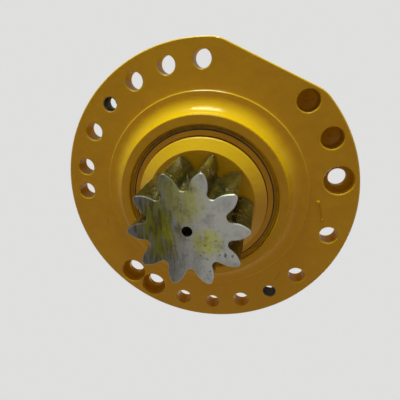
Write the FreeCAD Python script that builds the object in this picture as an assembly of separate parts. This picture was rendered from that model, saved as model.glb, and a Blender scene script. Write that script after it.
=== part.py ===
import FreeCAD, Part
import math
import os

# Swing gearbox: a two-stage planetary reduction in a flanged housing, with its output pinion below.
# Millimetres. The origin is the centre of the mounting face, +Z runs up the shaft, away from the pinion.

# Fits between pieces
seat_clearance = 0.02       # radial, pieces that are pressed or bolted together
running_clearance = 0.05    # radial, a piece that turns on or in another
end_play = 0.25             # axial, a gear between its thrust washers
backlash = 0.30             # total side play of a gear mesh

# Bearings of the output shaft; the lower one sets the sizes of shaft, seal and boss
lower_bearing_outer = 110.0     # radius
lower_bearing_section = 48.0    # outside radius less the bore's
lower_bearing_width = 54.0
upper_bearing_smaller = 10.0    # the upper one's outside radius is less by this
upper_bearing_section = 43.0
upper_bearing_width = 46.0
bearing_gap = 28.0              # height of the housing shoulder between the two
shoulder_lip = 8.0              # how far that shoulder stands in under the upper cup
seal_to_bearing = 8.0
roller_share = 0.23             # roller radius as a share of the bearing section
roller_length_share = 0.70
cup_angle = 16.0
cup_setback = 4.0               # the cup's thin end stops short of the cone's by this
roller_taper = 2.5
roller_count = 18
cage_thickness = 2.6
spacer_wall = 10.0
nut_height = 18.0
nut_wall = 20.0
nut_slot_width = 12.0
nut_slot_depth = 5.0
nut_slot_count = 4
lock_washer_thickness = 2.5
lock_tab_height = 8.0
thread_step = 2.0

# Shaft seal and its sleeve
seal_bore_wider = 2.5       # the seal's bore is larger than the bearing's by this
seal_section = 8.1
seal_recess = 6.0
seal_width = 15.0
seal_lip_thickness = 2.2
seal_case_thickness = 2.2
sleeve_wall = 9.0
sleeve_recess = 5.0
garter_radius = 1.25
garter_height = 9.5         # of the spring, above the seal's face

# Boss on the pinion side
boss_wall = 14.1            # from the seal's bore to the boss's outside
boss_height = 27.0
boss_straight = 0.4         # straight part of the boss's side, above its cast curve
boss_edge_round = 1.6
pilot_width = 29.4          # from the boss's side to the pilot's
pilot_step = 4.0
pilot_chamfer = 0.8

# Mounting flange
flange_width = 69.0         # from the pilot to the rim
flange_thickness = 28.0
flat_inset = 14.5           # from the round rim in to the straight edge
flat_angle = -61.0
flat_corner_radius = 50.0
rim_chamfer = 1.5
bolt_circle_inset = 28.0    # from the rim in to the bolt circle
bolt_hole_radius = 13.0
hole_chamfer = 1.3
bolt_hole_angles = (-177.5, -165.5, -148.0, -118.0, -102.5, -87.5, 19.5, 44.5, 75.0, 104.5)
counterbore_angles = (-6.0, 121.5, 134.0)
counterbore_radius = 21.0
counterbore_floor = 9.5
jack_hole_angles = (-133.0, 60.0)
jack_hole_radius = 10.5
dowel_hole_angle = 89.5
dowel_hole_radius = 11.5
blind_hole_angles = (-41.6, -24.0)
blind_hole_offset = 3.8     # the two blind holes lie this far outside the bolt circle
blind_hole_radius = 15.5
blind_hole_floor = 17.0
pad_wall = 5.0
pad_height = 14.0

# Output pinion
pinion_teeth = 10
pinion_module = 12.0
pinion_shift = 0.5
pinion_pressure_angle = 20.0
pinion_addendum = 1.408     # in modules
pinion_dedendum = 0.683
pinion_face_width = 92.0
pinion_phase = -0.56        # direction of one tooth
pinion_tip_round = 2.4
pinion_edge_chamfer = 1.2
pinion_relief = 3.5
centre_hole_radius = 7.5
centre_hole_depth = 20.0
shoulder_drop = 2.3         # the shaft's shoulder starts to narrow this far below the boss
shoulder_cone = 9.5
shoulder_cone_width = 16.4
shoulder_step = 1.5

# Spline between shaft and second carrier
spline_teeth = 20
spline_smaller = 7.0        # the spline's outside radius is less than the upper bearing's bore by this
spline_depth = 3.5
spline_length = 30.0
end_plate_thickness = 6.0
end_plate_wall = 3.0        # between the end plate's recess and the planet pins
end_screw_wall = 7.5        # from the spline's roots in to the screws
end_screw_count = 3
end_screw_radius = 5.0
end_screw_length = 24.0
thrust_disc_inset = 9.0     # from the screws in to the thrust disc's rim
thrust_disc_thickness = 4.5

# Both planetary stages
gear_module = 5.0
gear_pressure_angle = 25.0
gear_addendum = 0.80        # in modules
gear_dedendum = 1.05
ring_teeth = 48
pin_radius = 22.0
bush_wall = 4.0
washer_wall = 11.0
washer_thickness = 2.5
carrier_inset = 6.0         # the carriers turn this far inside the ring's teeth
carrier_gap = 2.0
post_inset = 2.0
pin_ring_thickness = 1.8
pin_ring_depth = 2.2
pin_ring_wall = 3.0
pin_floor = 6.0
gear_edge_chamfer = 1.0

# Second stage
second_sun_teeth = 16
second_planet_count = 4
second_face_width = 54.0
second_plate = 30.0
second_top_plate = 14.0
second_post_width = 24.0
second_post_half_angle = 10.0
second_hub_wall = 16.0
second_hub_length = 8.0
second_window_gap = 17.0    # the carrier's window is wider than the sun's spline by this

# First stage
first_sun_teeth = 12
first_planet_count = 3
first_face_width = 34.0
first_plate = 16.0
first_top_plate = 10.0
first_post_width = 23.0
first_post_half_angle = 18.0
first_hub_wall = 11.0
first_hub_length = 13.0
first_recess_wall = 9.0
first_recess_depth = 8.0
first_window_gap = 7.0
sun_spline_teeth = 16
sun_spline_smaller = 1.75   # the spline's outside radius is less than the sun's root by this
sun_spline_depth = 2.6
sun_ring_thickness = 2.5
sun_ring_wall = 5.0
sun_ring_gap = 9.0          # opening of the ring
sun_gap = 1.0

# Input end of the first sun
input_shaft_smaller = 3.75  # less than the first sun's root
input_hub_wider = 6.0
input_hub_length = 33.0
input_spline_teeth = 14
input_spline_inset = 3.5
input_spline_depth = 2.2
input_spline_length = 39.0
input_hub_gap = 1.0         # the hub ends this far below the motor's pilot

# Housing body above the flange
body_wall = 33.0            # from the lower bearing's seat to the neck's outside
body_fillet = 12.0
ring_wall = 27.75           # from the ring gear's roots to the outside
head_height = 36.0
head_taper = 14.0
head_sink = 1.5             # the second carrier's lower face stays this far below the joint
cavity_gap = 2.0
rib_thickness = 12.0
rib_reach = 34.0
rib_gap = 14.0              # the ribs end this far below the head
rib_foot = 8.0
rib_angles = (-156.5, -110.0, -64.0, -32.5, 7.0, 52.0, 97.0, 150.0)
ring_band = 16.0
ring_waist = 1.5

# Long bolts through cover and ring gear
bolt_count = 12
long_bolt_wall = 14.25      # from the ring gear's roots to the bolt circle
long_bolt_radius = 7.0
long_bolt_play = 0.5
long_bolt_thread = 32.0
bolt_head_radius = 10.5
bolt_head_height = 14.0
bolt_socket_flats = 12.0
bolt_socket_depth = 7.0
bolt_washer_radius = 12.5
bolt_washer_thickness = 2.5
tapped_extra = 4.0
pin_dowel_radius = 5.0
pin_dowel_length = 24.0
pin_dowel_angles = (75.0, 255.0)
o_ring_wall = 3.75          # from the ring gear's roots to the cord's centre
o_ring_section = 1.5        # radius of the cord
o_ring_squeeze = 0.2

# Top cover
cover_thickness = 30.0
cover_edge = 3.0
cover_bore_radius = 62.0
motor_pilot_seat = 18.0     # width of the step below the pilot
motor_pilot_depth = 12.0
motor_boss_wall = 40.0
motor_boss_height = 14.0
motor_bolt_wall = 20.0      # from the pilot to the bolt circle
motor_bolt_radius = 7.0
motor_bolt_depth = 30.0
motor_bolt_count = 6
motor_bolt_angle = 30.0

# Ports, plugs, breather and dipstick
port_radius = 8.0
port_boss_wall = 9.0
port_spot_depth = 0.8
port_spot_wider = 3.0
port_spot_reach = 20.0
plug_head_wider = 4.0
plug_head_height = 9.0
plug_collar = 3.0
plug_thread_length = 14.0
plug_socket_flats = 9.0
plug_socket_depth = 6.0
seal_washer_thickness = 1.5
drain_angle = 165.0
drain_boss_height = 23.0
fill_angle = 195.0
breather_angle = 15.0
breather_stem = 16.0
breather_cap_wall = 5.0
breather_cap_height = 13.0
dipstick_angle = 180.0
dipstick_offset = 18.0      # from the head's side to the tube's axis
dipstick_pad_wall = 6.0
dipstick_pad_height = 30.0
dipstick_feed_height = 13.0     # of the oil passage, above the pad's foot
dipstick_tube_radius = 8.0
dipstick_tube_wall = 1.5
dipstick_tube_drop = 13.5   # the tube ends this far below the cover's face
dipstick_tube_seat = 16.0
dipstick_nut_wall = 4.0
dipstick_nut_height = 12.0
dipstick_rod_radius = 2.0
dipstick_rod_drop = 16.0    # the rod ends this far below the joint
dipstick_cap_wall = 2.5
dipstick_cap_height = 9.0
dipstick_loop_radius = 11.0
dipstick_loop_wire = 2.0

origin = FreeCAD.Vector(0, 0, 0)
up = FreeCAD.Vector(0, 0, 1)

# Radii that follow from the sizes above
lower_bearing_bore = lower_bearing_outer - lower_bearing_section
upper_bearing_outer = lower_bearing_outer - upper_bearing_smaller
upper_bearing_bore = upper_bearing_outer - upper_bearing_section
shoulder_bore_radius = upper_bearing_outer - shoulder_lip
nut_radius = upper_bearing_bore - thread_step + nut_wall
spline_major_radius = upper_bearing_bore - spline_smaller
seal_bore_radius = lower_bearing_outer + seal_bore_wider
lip_radius = seal_bore_radius - seal_section
shoulder_radius = lip_radius - sleeve_wall
shoulder_tip_radius = shoulder_radius - shoulder_cone_width
boss_radius = seal_bore_radius + boss_wall
pilot_radius = boss_radius + pilot_width
flange_radius = pilot_radius + flange_width
flat_distance = flange_radius - flat_inset
bolt_circle_radius = flange_radius - bolt_circle_inset
blind_circle_radius = bolt_circle_radius + blind_hole_offset
pinion_tip_radius = pinion_module * (pinion_teeth / 2 + pinion_addendum)
pinion_root_radius = pinion_module * (pinion_teeth / 2 - pinion_dedendum)
ring_pitch_radius = gear_module * ring_teeth / 2
ring_tip_radius = ring_pitch_radius - gear_addendum * gear_module
ring_root_radius = ring_pitch_radius + gear_dedendum * gear_module
o_ring_radius = ring_root_radius + o_ring_wall
long_bolt_circle = ring_root_radius + long_bolt_wall
head_radius = ring_root_radius + ring_wall
cavity_radius = ring_tip_radius + cavity_gap
carrier_radius = ring_tip_radius - carrier_inset
second_planet_teeth = (ring_teeth - second_sun_teeth) // 2
first_planet_teeth = (ring_teeth - first_sun_teeth) // 2
second_pin_circle = gear_module * (second_sun_teeth + second_planet_teeth) / 2
first_pin_circle = gear_module * (first_sun_teeth + first_planet_teeth) / 2
second_sun_root = gear_module * (second_sun_teeth / 2 - gear_dedendum)
first_sun_root = gear_module * (first_sun_teeth / 2 - gear_dedendum)
sun_spline_radius = second_sun_root - sun_spline_smaller
first_hub_radius = sun_spline_radius + first_hub_wall
first_recess_radius = sun_spline_radius + first_recess_wall
second_hub_radius = spline_major_radius + second_hub_wall
end_plate_radius = second_pin_circle - pin_radius - end_plate_wall
end_screw_circle = spline_major_radius - spline_depth - end_screw_wall - end_screw_radius
thrust_disc_radius = end_screw_circle - thrust_disc_inset
input_shaft_radius = first_sun_root - input_shaft_smaller
input_hub_radius = input_shaft_radius + input_hub_wider
input_spline_radius = input_shaft_radius - input_spline_inset
bush_outer = pin_radius + bush_wall
body_radius = lower_bearing_outer + body_wall
rib_root_radius = body_radius - rib_thickness
motor_pilot_radius = cover_bore_radius + motor_pilot_seat
motor_bolt_circle = motor_pilot_radius + motor_bolt_wall
motor_boss_radius = motor_pilot_radius + motor_boss_wall
plug_head_radius = port_radius + plug_head_wider
port_boss_radius = port_radius + port_boss_wall
breather_cap_radius = port_radius + breather_cap_wall
drain_reach = body_radius + drain_boss_height
dipstick_radius_out = head_radius + dipstick_offset
dipstick_pad_radius = dipstick_tube_radius + dipstick_pad_wall
dipstick_nut_radius = dipstick_tube_radius + dipstick_nut_wall
dipstick_cap_radius = dipstick_tube_radius + dipstick_cap_wall

# Heights that follow from the sizes above
boss_flare = boss_height - pilot_step - boss_edge_round - boss_straight
counterbore_depth = flange_thickness - counterbore_floor
blind_hole_depth = flange_thickness + pad_height - blind_hole_floor
seal_face = seal_recess - boss_height
seal_top = seal_face + seal_width
sleeve_face = sleeve_recess - boss_height
shoulder_base = -boss_height - shoulder_drop
shoulder_tip = shoulder_base - shoulder_cone
tooth_top = shoulder_tip - pinion_relief
pinion_end = tooth_top - pinion_face_width
lower_bearing_base = seal_top + seal_to_bearing
lower_bearing_top = lower_bearing_base + lower_bearing_width
upper_bearing_base = lower_bearing_top + bearing_gap
upper_bearing_top = upper_bearing_base + upper_bearing_width
nut_base = upper_bearing_top + lock_washer_thickness
nut_top = nut_base + nut_height
hub_base = nut_top + thread_step
shaft_top = hub_base + spline_length
second_plate_base = hub_base + second_hub_length
second_plate_top = second_plate_base + second_plate
second_gear_base = second_plate_top + washer_thickness + end_play
second_gear_top = second_gear_base + second_face_width
second_upper_base = second_gear_top + end_play + washer_thickness
second_carrier_top = second_upper_base + second_top_plate
first_plate_base = second_carrier_top + carrier_gap
first_plate_top = first_plate_base + first_plate
first_hub_base = first_plate_base - first_hub_length
sun_ring_base = first_plate_top - first_recess_depth
sun_stub_top = sun_ring_base + 2 * sun_ring_thickness
first_gear_base = first_plate_top + washer_thickness + end_play
first_gear_top = first_gear_base + first_face_width
first_upper_base = first_gear_top + end_play + washer_thickness
first_carrier_top = first_upper_base + first_top_plate
body_top = second_plate_base + head_sink
head_base = body_top - head_height
rib_top = head_base - head_taper - rib_gap
ring_top = first_carrier_top + 2 * carrier_gap
cover_top = ring_top + cover_thickness
boss_top = cover_top + motor_boss_height
port_height = ring_top + cover_thickness / 2
drain_height = lower_bearing_top + bearing_gap / 2
dipstick_tube_top = cover_top - dipstick_tube_drop
dipstick_rod_end = body_top - dipstick_rod_drop


def vector(radius, degrees, height=0.0):
    turn = math.radians(degrees)
    return FreeCAD.Vector(radius * math.cos(turn), radius * math.sin(turn), height)


def turned(start, *steps):
    """A solid turned about the axis. A step is (radius, height), or those of an arc's middle and its end."""
    edges = []
    here = FreeCAD.Vector(start[0], 0, start[1])
    for step in steps + (start,):
        there = FreeCAD.Vector(step[-2], 0, step[-1])
        if len(step) == 4:
            middle = FreeCAD.Vector(step[0], 0, step[1])
            edges.append(Part.Arc(here, middle, there).toShape())
        elif here.distanceToPoint(there) > 1e-6:
            edges.append(Part.makeLine(here, there))
        here = there
    return outward(Part.Face(Part.Wire(edges)).revolve(origin, up, 360))


def outward(solid):
    """The same solid with its faces pointing out."""
    if solid.Volume < 0:
        solid.reverse()
    return solid


def tube(inner, outer, low, high, chamfer=0.0):
    """A ring with its outer edges chamfered."""
    if not chamfer:
        return turned((inner, low), (outer, low), (outer, high), (inner, high))
    return turned(
        (inner, low),
        (outer - chamfer, low),
        (outer, low + chamfer),
        (outer, high - chamfer),
        (outer - chamfer, high),
        (inner, high),
    )


def rod(radius, low, high, chamfer=0.0):
    """A round bar on the axis with chamfered ends."""
    if not chamfer:
        return Part.makeCylinder(radius, high - low, FreeCAD.Vector(0, 0, low))
    return turned(
        (0, low),
        (radius - chamfer, low),
        (radius, low + chamfer),
        (radius, high - chamfer),
        (radius - chamfer, high),
        (0, high),
    )


def spun(shape, degrees):
    copy = shape.copy()
    copy.rotate(origin, up, degrees)
    return copy


def moved(shape, place):
    copy = shape.copy()
    copy.translate(place)
    return copy


def ring_of(shape, count, first=0.0):
    """Copies of a shape, evenly spaced around the axis."""
    return [spun(shape, first + 360.0 * k / count) for k in range(count)]


def prism(points, low, high):
    """A straight prism from a flat outline of points."""
    corners = [FreeCAD.Vector(x, y, low) for x, y in points]
    face = Part.Face(Part.makePolygon(corners + corners[:1]))
    return outward(face.extrude(FreeCAD.Vector(0, 0, high - low)))


def hexagon(flats, low, high):
    """A hexagonal prism, its size given across the flats."""
    corner = flats / 2 / math.cos(math.pi / 6)
    corners = [vector(corner, 60.0 * k) for k in range(6)]
    return prism([(c.x, c.y) for c in corners], low, high)


def radial(shape, degrees, radius, height):
    """Lays a shape made along +Z out along a radius, with its foot at the given radius and height."""
    copy = shape.copy()
    copy.rotate(origin, FreeCAD.Vector(0, 1, 0), 90)
    copy.translate(FreeCAD.Vector(radius, 0, height))
    return spun(copy, degrees)


# Gear teeth


def involute(angle):
    return math.tan(angle) - angle


def half_tooth(radius, teeth, pitch_radius, pressure, shift, thinning):
    """Half the angle of an involute tooth at a radius."""
    alpha = math.radians(pressure)
    base = pitch_radius * math.cos(alpha)
    at_radius = math.acos(min(1.0, base / radius))
    at_pitch = (math.pi / 2 + 2 * shift * math.tan(alpha)) / teeth
    return at_pitch + involute(alpha) - involute(at_radius) - thinning / 2 / pitch_radius


def tooth_outline(teeth, pitch_radius, pressure, root, tip, phase, shift=0.0, thinning=0.0, tip_round=0.0):
    """The closed outline of a gear: involute flanks drawn as arcs, with one arc for each root."""
    base = pitch_radius * math.cos(math.radians(pressure))
    start = max(base, root + 0.12 * (tip - root))
    end = tip - tip_round
    middle = (start + end) / 2
    sizes = (teeth, pitch_radius, pressure, shift, thinning)
    low, mid, high = (math.degrees(half_tooth(r, *sizes)) for r in (start, middle, end))
    pitch = 360.0 / teeth
    edges = []
    for k in range(teeth):
        centre = phase + k * pitch
        foot_left = vector(start, centre - low)
        foot_right = vector(start, centre + low)
        head_left = vector(end, centre - high)
        head_right = vector(end, centre + high)
        next_foot = vector(start, centre + pitch - low)
        edges.append(Part.Arc(foot_left, vector(middle, centre - mid), head_left).toShape())
        edges.append(Part.Arc(head_left, vector(tip, centre), head_right).toShape())
        edges.append(Part.Arc(head_right, vector(middle, centre + mid), foot_right).toShape())
        edges.append(Part.Arc(foot_right, vector(root, centre + pitch / 2), next_foot).toShape())
    return Part.Wire(edges)


def toothed(outline, low, high):
    """A bar with the section of a gear outline."""
    bar = Part.Face(outline).extrude(FreeCAD.Vector(0, 0, high - low))
    return outward(moved(bar, FreeCAD.Vector(0, 0, low)))


def stage_gear(teeth, phase, low, high):
    """A solid gear of the planetary stages, with its tip edges chamfered."""
    pitch_radius = gear_module * teeth / 2
    root = pitch_radius - gear_dedendum * gear_module
    tip = pitch_radius + gear_addendum * gear_module
    outline = tooth_outline(
        teeth, pitch_radius, gear_pressure_angle, root, tip, phase, thinning=backlash / 2
    )
    return toothed(outline, low, high).common(rod(tip + 0.5, low, high, gear_edge_chamfer + 0.5))


def spline_bar(teeth, major, depth, low, high, growth=0.0):
    """A straight-sided spline bar; growth makes it larger all over, for the matching bore."""
    outer = major + growth
    inner = major - depth + growth
    quarter = 90.0 / teeth
    play = math.degrees(growth / major)
    points = []
    for k in range(teeth):
        centre = k * 360.0 / teeth
        points.append(vector(inner, centre - 1.25 * quarter - play))
        points.append(vector(outer, centre - 0.75 * quarter - play))
        points.append(vector(outer, centre + 0.75 * quarter + play))
        points.append(vector(inner, centre + 1.25 * quarter + play))
    return prism([(p.x, p.y) for p in points], low, high)


# Housing


def flange_plate():
    """The round flange with one straight edge, its two corners rounded and both rims chamfered."""
    plate = rod(flange_radius, 0, flange_thickness)
    reach = 2 * flange_radius
    edge = Part.makeBox(reach, reach, reach, FreeCAD.Vector(flat_distance, -reach / 2, -reach / 2))
    plate = plate.cut(spun(edge, flat_angle))
    corners = [
        e for e in plate.Edges
        if abs(e.BoundBox.ZLength - flange_thickness) < 1e-6 and e.BoundBox.DiagonalLength < flange_thickness + 1e-6
        and math.hypot(e.CenterOfMass.x, e.CenterOfMass.y) > flat_distance
        and abs(math.degrees(vector(1, flat_angle).getAngle(
            FreeCAD.Vector(e.CenterOfMass.x, e.CenterOfMass.y, 0)))) < 60
    ]
    plate = plate.makeFillet(flat_corner_radius, corners)
    rims = [e for e in plate.Edges if e.BoundBox.ZLength < 1e-6]
    return plate.makeChamfer(rim_chamfer, rims)


def hole_cutter(radius, chamfer, low, high):
    """A drill with a chamfering cone at both ends."""
    mouth = radius + chamfer + 1.0
    return turned(
        (0, low - 1),
        (mouth, low - 1),
        (radius, low + chamfer),
        (radius, high - chamfer),
        (mouth, high + 1),
        (0, high + 1),
    )


def blind_cutter(radius, chamfer, mouth_height, depth):
    """A blind drill that enters at a face and goes up, with its cone-shaped point."""
    mouth = radius + chamfer + 1.0
    end = mouth_height + depth
    return turned(
        (0, mouth_height - 1),
        (mouth, mouth_height - 1),
        (radius, mouth_height + chamfer),
        (radius, end),
        (0, end + radius * 0.5),
    )


def counterbore_cutter():
    """A bolt hole with a wide recess for the screw's head on the pinion side."""
    mouth = counterbore_radius + hole_chamfer + 1.0
    return turned(
        (0, -1),
        (mouth, -1),
        (counterbore_radius, hole_chamfer),
        (counterbore_radius, counterbore_depth),
        (bolt_hole_radius, counterbore_depth),
        (bolt_hole_radius, flange_thickness - hole_chamfer),
        (bolt_hole_radius + hole_chamfer + 1, flange_thickness + 1),
        (0, flange_thickness + 1),
    )


def flange_cutters():
    """Every hole of the flange, each on its circle."""
    plain = hole_cutter(bolt_hole_radius, hole_chamfer, 0, flange_thickness)
    jack = hole_cutter(jack_hole_radius, hole_chamfer, 0, flange_thickness)
    dowel = hole_cutter(dowel_hole_radius, hole_chamfer, 0, flange_thickness)
    blind = blind_cutter(blind_hole_radius, hole_chamfer, 0, blind_hole_depth)
    layout = [(plain, bolt_hole_angles), (counterbore_cutter(), counterbore_angles)]
    layout += [(jack, jack_hole_angles), (dowel, (dowel_hole_angle,))]
    cutters = [moved(tool, vector(bolt_circle_radius, a)) for tool, angles in layout for a in angles]
    return cutters + [moved(blind, vector(blind_circle_radius, a)) for a in blind_hole_angles]


def housing_core():
    """The turned body of the lower housing: boss, seal and bearing seats, neck and bolted head."""
    edge = boss_edge_round
    bend = boss_flare * (1 - math.sqrt(0.5))
    soft = edge * (1 - math.sqrt(0.5))
    fillet = body_fillet * (1 - math.sqrt(0.5))
    return turned(
        (seal_bore_radius + hole_chamfer, -boss_height),
        (boss_radius - edge, -boss_height),
        (boss_radius - soft, soft - boss_height, boss_radius, edge - boss_height),
        (boss_radius, -pilot_step - boss_flare),
        (boss_radius + bend, -pilot_step - bend, boss_radius + boss_flare, -pilot_step),
        (pilot_radius - pilot_chamfer, -pilot_step),
        (pilot_radius, pilot_chamfer - pilot_step),
        (pilot_radius, flange_thickness),
        (body_radius + body_fillet, flange_thickness),
        (body_radius + fillet, flange_thickness + fillet, body_radius, flange_thickness + body_fillet),
        (body_radius, head_base - head_taper),
        (head_radius, head_base),
        (head_radius, body_top - 1.5),
        (head_radius - 1.5, body_top),
        (cavity_radius, body_top),
        (cavity_radius, upper_bearing_top),
        (upper_bearing_outer + seat_clearance, upper_bearing_top),
        (upper_bearing_outer + seat_clearance, upper_bearing_base),
        (shoulder_bore_radius, upper_bearing_base),
        (shoulder_bore_radius, lower_bearing_top),
        (lower_bearing_outer + seat_clearance, lower_bearing_top),
        (lower_bearing_outer + seat_clearance, seal_top),
        (seal_bore_radius, seal_top),
        (seal_bore_radius, hole_chamfer - boss_height),
    )


def rib():
    """One web between the flange and the neck of the housing."""
    corners = [
        (rib_root_radius, flange_thickness - 1),
        (body_radius + rib_reach, flange_thickness - 1),
        (body_radius + rib_reach, flange_thickness + rib_foot),
        (body_radius + 4, rib_top),
        (rib_root_radius, rib_top),
    ]
    points = [FreeCAD.Vector(r, -rib_thickness / 2, z) for r, z in corners]
    face = Part.Face(Part.makePolygon(points + points[:1]))
    return outward(face.extrude(FreeCAD.Vector(0, rib_thickness, 0)))


def lower_housing():
    body = flange_plate().cut(rod(body_radius, -1, flange_thickness + 1))
    body = body.fuse(housing_core())
    pads = [
        moved(
            rod(blind_hole_radius + pad_wall, flange_thickness - 1, flange_thickness + pad_height, 1.5),
            vector(blind_circle_radius, a),
        )
        for a in blind_hole_angles
    ]
    drain_boss = radial(rod(port_boss_radius, 0, drain_reach - rib_root_radius, 1.5), drain_angle,
                        rib_root_radius, drain_height)
    pad_low = body_top - dipstick_pad_height
    pad = moved(rod(dipstick_pad_radius, pad_low, body_top - 2, 1.5), vector(dipstick_radius_out, 0))
    root = Part.makeBox(
        dipstick_radius_out - cavity_radius - dipstick_pad_radius,
        2 * dipstick_pad_radius,
        dipstick_pad_height - 4,
        FreeCAD.Vector(cavity_radius + dipstick_pad_radius, -dipstick_pad_radius, pad_low + 1),
    )
    dipstick_boss = spun(pad.fuse(root), dipstick_angle)
    body = body.fuse([spun(rib(), a) for a in rib_angles] + pads + [drain_boss, dipstick_boss])
    body = body.removeSplitter()
    tapped = moved(
        rod(long_bolt_radius + seat_clearance, body_top - long_bolt_thread - tapped_extra, body_top + 1),
        vector(long_bolt_circle, 0),
    )
    dowel = moved(
        rod(pin_dowel_radius + seat_clearance, body_top - pin_dowel_length / 2, body_top + 1),
        vector(long_bolt_circle, 0),
    )
    groove = tube(
        o_ring_radius - o_ring_section, o_ring_radius + o_ring_section,
        body_top - 2 * o_ring_section + o_ring_squeeze, body_top + 1,
    )
    drain = radial(rod(port_radius, 0, drain_reach), drain_angle, shoulder_bore_radius - 4, drain_height)
    tube_end = body_top - 2 - dipstick_tube_seat
    seat = moved(
        rod(dipstick_tube_radius + seat_clearance, tube_end, body_top), vector(dipstick_radius_out, dipstick_angle)
    )
    well = moved(
        rod(dipstick_tube_radius - dipstick_tube_wall, pad_low + 6, body_top),
        vector(dipstick_radius_out, dipstick_angle),
    )
    feed = radial(
        rod(dipstick_tube_radius - dipstick_tube_wall - 1, 0, dipstick_radius_out - cavity_radius + 4),
        dipstick_angle, cavity_radius - 4, pad_low + dipstick_feed_height,
    )
    cutters = flange_cutters() + ring_of(tapped, bolt_count) + [spun(dowel, a) for a in pin_dowel_angles]
    return body.cut(cutters + [groove, drain, seat, well, feed])


def ring_gear():
    """The internally toothed middle housing, clamped between the lower housing and the cover."""
    waist = ring_waist
    band = ring_band
    body = turned(
        (ring_tip_radius - 2, body_top),
        (head_radius - 1.5, body_top),
        (head_radius, body_top + 1.5),
        (head_radius, body_top + band),
        (head_radius - waist, body_top + band + waist),
        (head_radius - waist, ring_top - band - waist),
        (head_radius, ring_top - band),
        (head_radius, ring_top - 1.5),
        (head_radius - 1.5, ring_top),
        (ring_tip_radius - 2, ring_top),
    )
    space = tooth_outline(
        ring_teeth, ring_pitch_radius, gear_pressure_angle, ring_tip_radius, ring_root_radius,
        180.0 / ring_teeth, thinning=-backlash / 2,
    )
    hole = moved(rod(long_bolt_radius + long_bolt_play, body_top - 1, ring_top + 1), vector(long_bolt_circle, 0))
    dowels = [
        moved(rod(pin_dowel_radius + seat_clearance, z - pin_dowel_length / 2, z + pin_dowel_length / 2),
              vector(long_bolt_circle, a))
        for z in (body_top, ring_top)
        for a in pin_dowel_angles
    ]
    body = body.cut(toothed(space, body_top - 1, ring_top + 1))
    return body.cut(ring_of(hole, bolt_count) + dowels)


def top_cover():
    """The cover, with the motor's pilot bore and bolt holes in a raised boss."""
    pilot_floor = boss_top - motor_pilot_depth
    body = turned(
        (cover_bore_radius, ring_top),
        (head_radius - 1.5, ring_top),
        (head_radius, ring_top + 1.5),
        (head_radius, cover_top - cover_edge),
        (head_radius - cover_edge, cover_top),
        (motor_boss_radius + 4, cover_top),
        (motor_boss_radius, cover_top + 4),
        (motor_boss_radius, boss_top - 1.5),
        (motor_boss_radius - 1.5, boss_top),
        (motor_pilot_radius + 1, boss_top),
        (motor_pilot_radius, boss_top - 1),
        (motor_pilot_radius, pilot_floor),
        (cover_bore_radius, pilot_floor),
    )
    hole = moved(rod(long_bolt_radius + long_bolt_play, ring_top - 1, cover_top + 1), vector(long_bolt_circle, 0))
    tapped = moved(rod(motor_bolt_radius, boss_top - motor_bolt_depth, boss_top + 1), vector(motor_bolt_circle, 0))
    dowel = moved(
        rod(pin_dowel_radius + seat_clearance, ring_top - 1, ring_top + pin_dowel_length / 2),
        vector(long_bolt_circle, 0),
    )
    groove = tube(
        o_ring_radius - o_ring_section, o_ring_radius + o_ring_section,
        ring_top - 1, ring_top + 2 * o_ring_section - o_ring_squeeze,
    )
    ports = [
        radial(rod(port_radius, 0, head_radius), a, cover_bore_radius - 4, port_height)
        for a in (fill_angle, breather_angle)
    ]
    spots = [
        radial(rod(plug_head_radius + port_spot_wider, 0, port_spot_reach), a, head_radius - port_spot_depth, port_height)
        for a in (fill_angle, breather_angle)
    ]
    cutters = ring_of(hole, bolt_count) + ring_of(tapped, motor_bolt_count, motor_bolt_angle)
    cutters += [spun(dowel, a) for a in pin_dowel_angles]
    return body.cut(cutters + [groove] + ports + spots)


def housing_bolts():
    """Long socket-head bolts down through cover and ring gear into the lower housing."""
    seat = cover_top + bolt_washer_thickness
    head_top = seat + bolt_head_height
    bolt = turned(
        (0, body_top - long_bolt_thread),
        (long_bolt_radius - 1.5, body_top - long_bolt_thread),
        (long_bolt_radius, body_top - long_bolt_thread + 1.5),
        (long_bolt_radius, seat),
        (bolt_head_radius, seat),
        (bolt_head_radius, head_top - 1),
        (bolt_head_radius - 1, head_top),
        (0, head_top),
    )
    bolt = bolt.cut(hexagon(bolt_socket_flats, head_top - bolt_socket_depth, head_top + 1))
    return ring_of(moved(bolt, vector(long_bolt_circle, 0)), bolt_count)


def housing_washers():
    washer = tube(
        long_bolt_radius + seat_clearance, bolt_washer_radius, cover_top, cover_top + bolt_washer_thickness, 0.4
    )
    return ring_of(moved(washer, vector(long_bolt_circle, 0)), bolt_count)


def dowel_pins():
    half = pin_dowel_length / 2 - 0.5
    return [
        moved(rod(pin_dowel_radius, z - half, z + half, 0.8), vector(long_bolt_circle, a))
        for z in (body_top, ring_top)
        for a in pin_dowel_angles
    ]


def o_ring(low, high):
    """A cord ring pressed flat on its groove and on the face above or below it."""
    bulge = o_ring_section - seat_clearance
    middle = (low + high) / 2
    flat = bulge * 0.5
    return turned(
        (o_ring_radius - flat, low),
        (o_ring_radius + flat, low),
        (o_ring_radius + bulge, middle, o_ring_radius + flat, high),
        (o_ring_radius - flat, high),
        (o_ring_radius - bulge, middle, o_ring_radius - flat, low),
    )


# Seal and bearings


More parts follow.
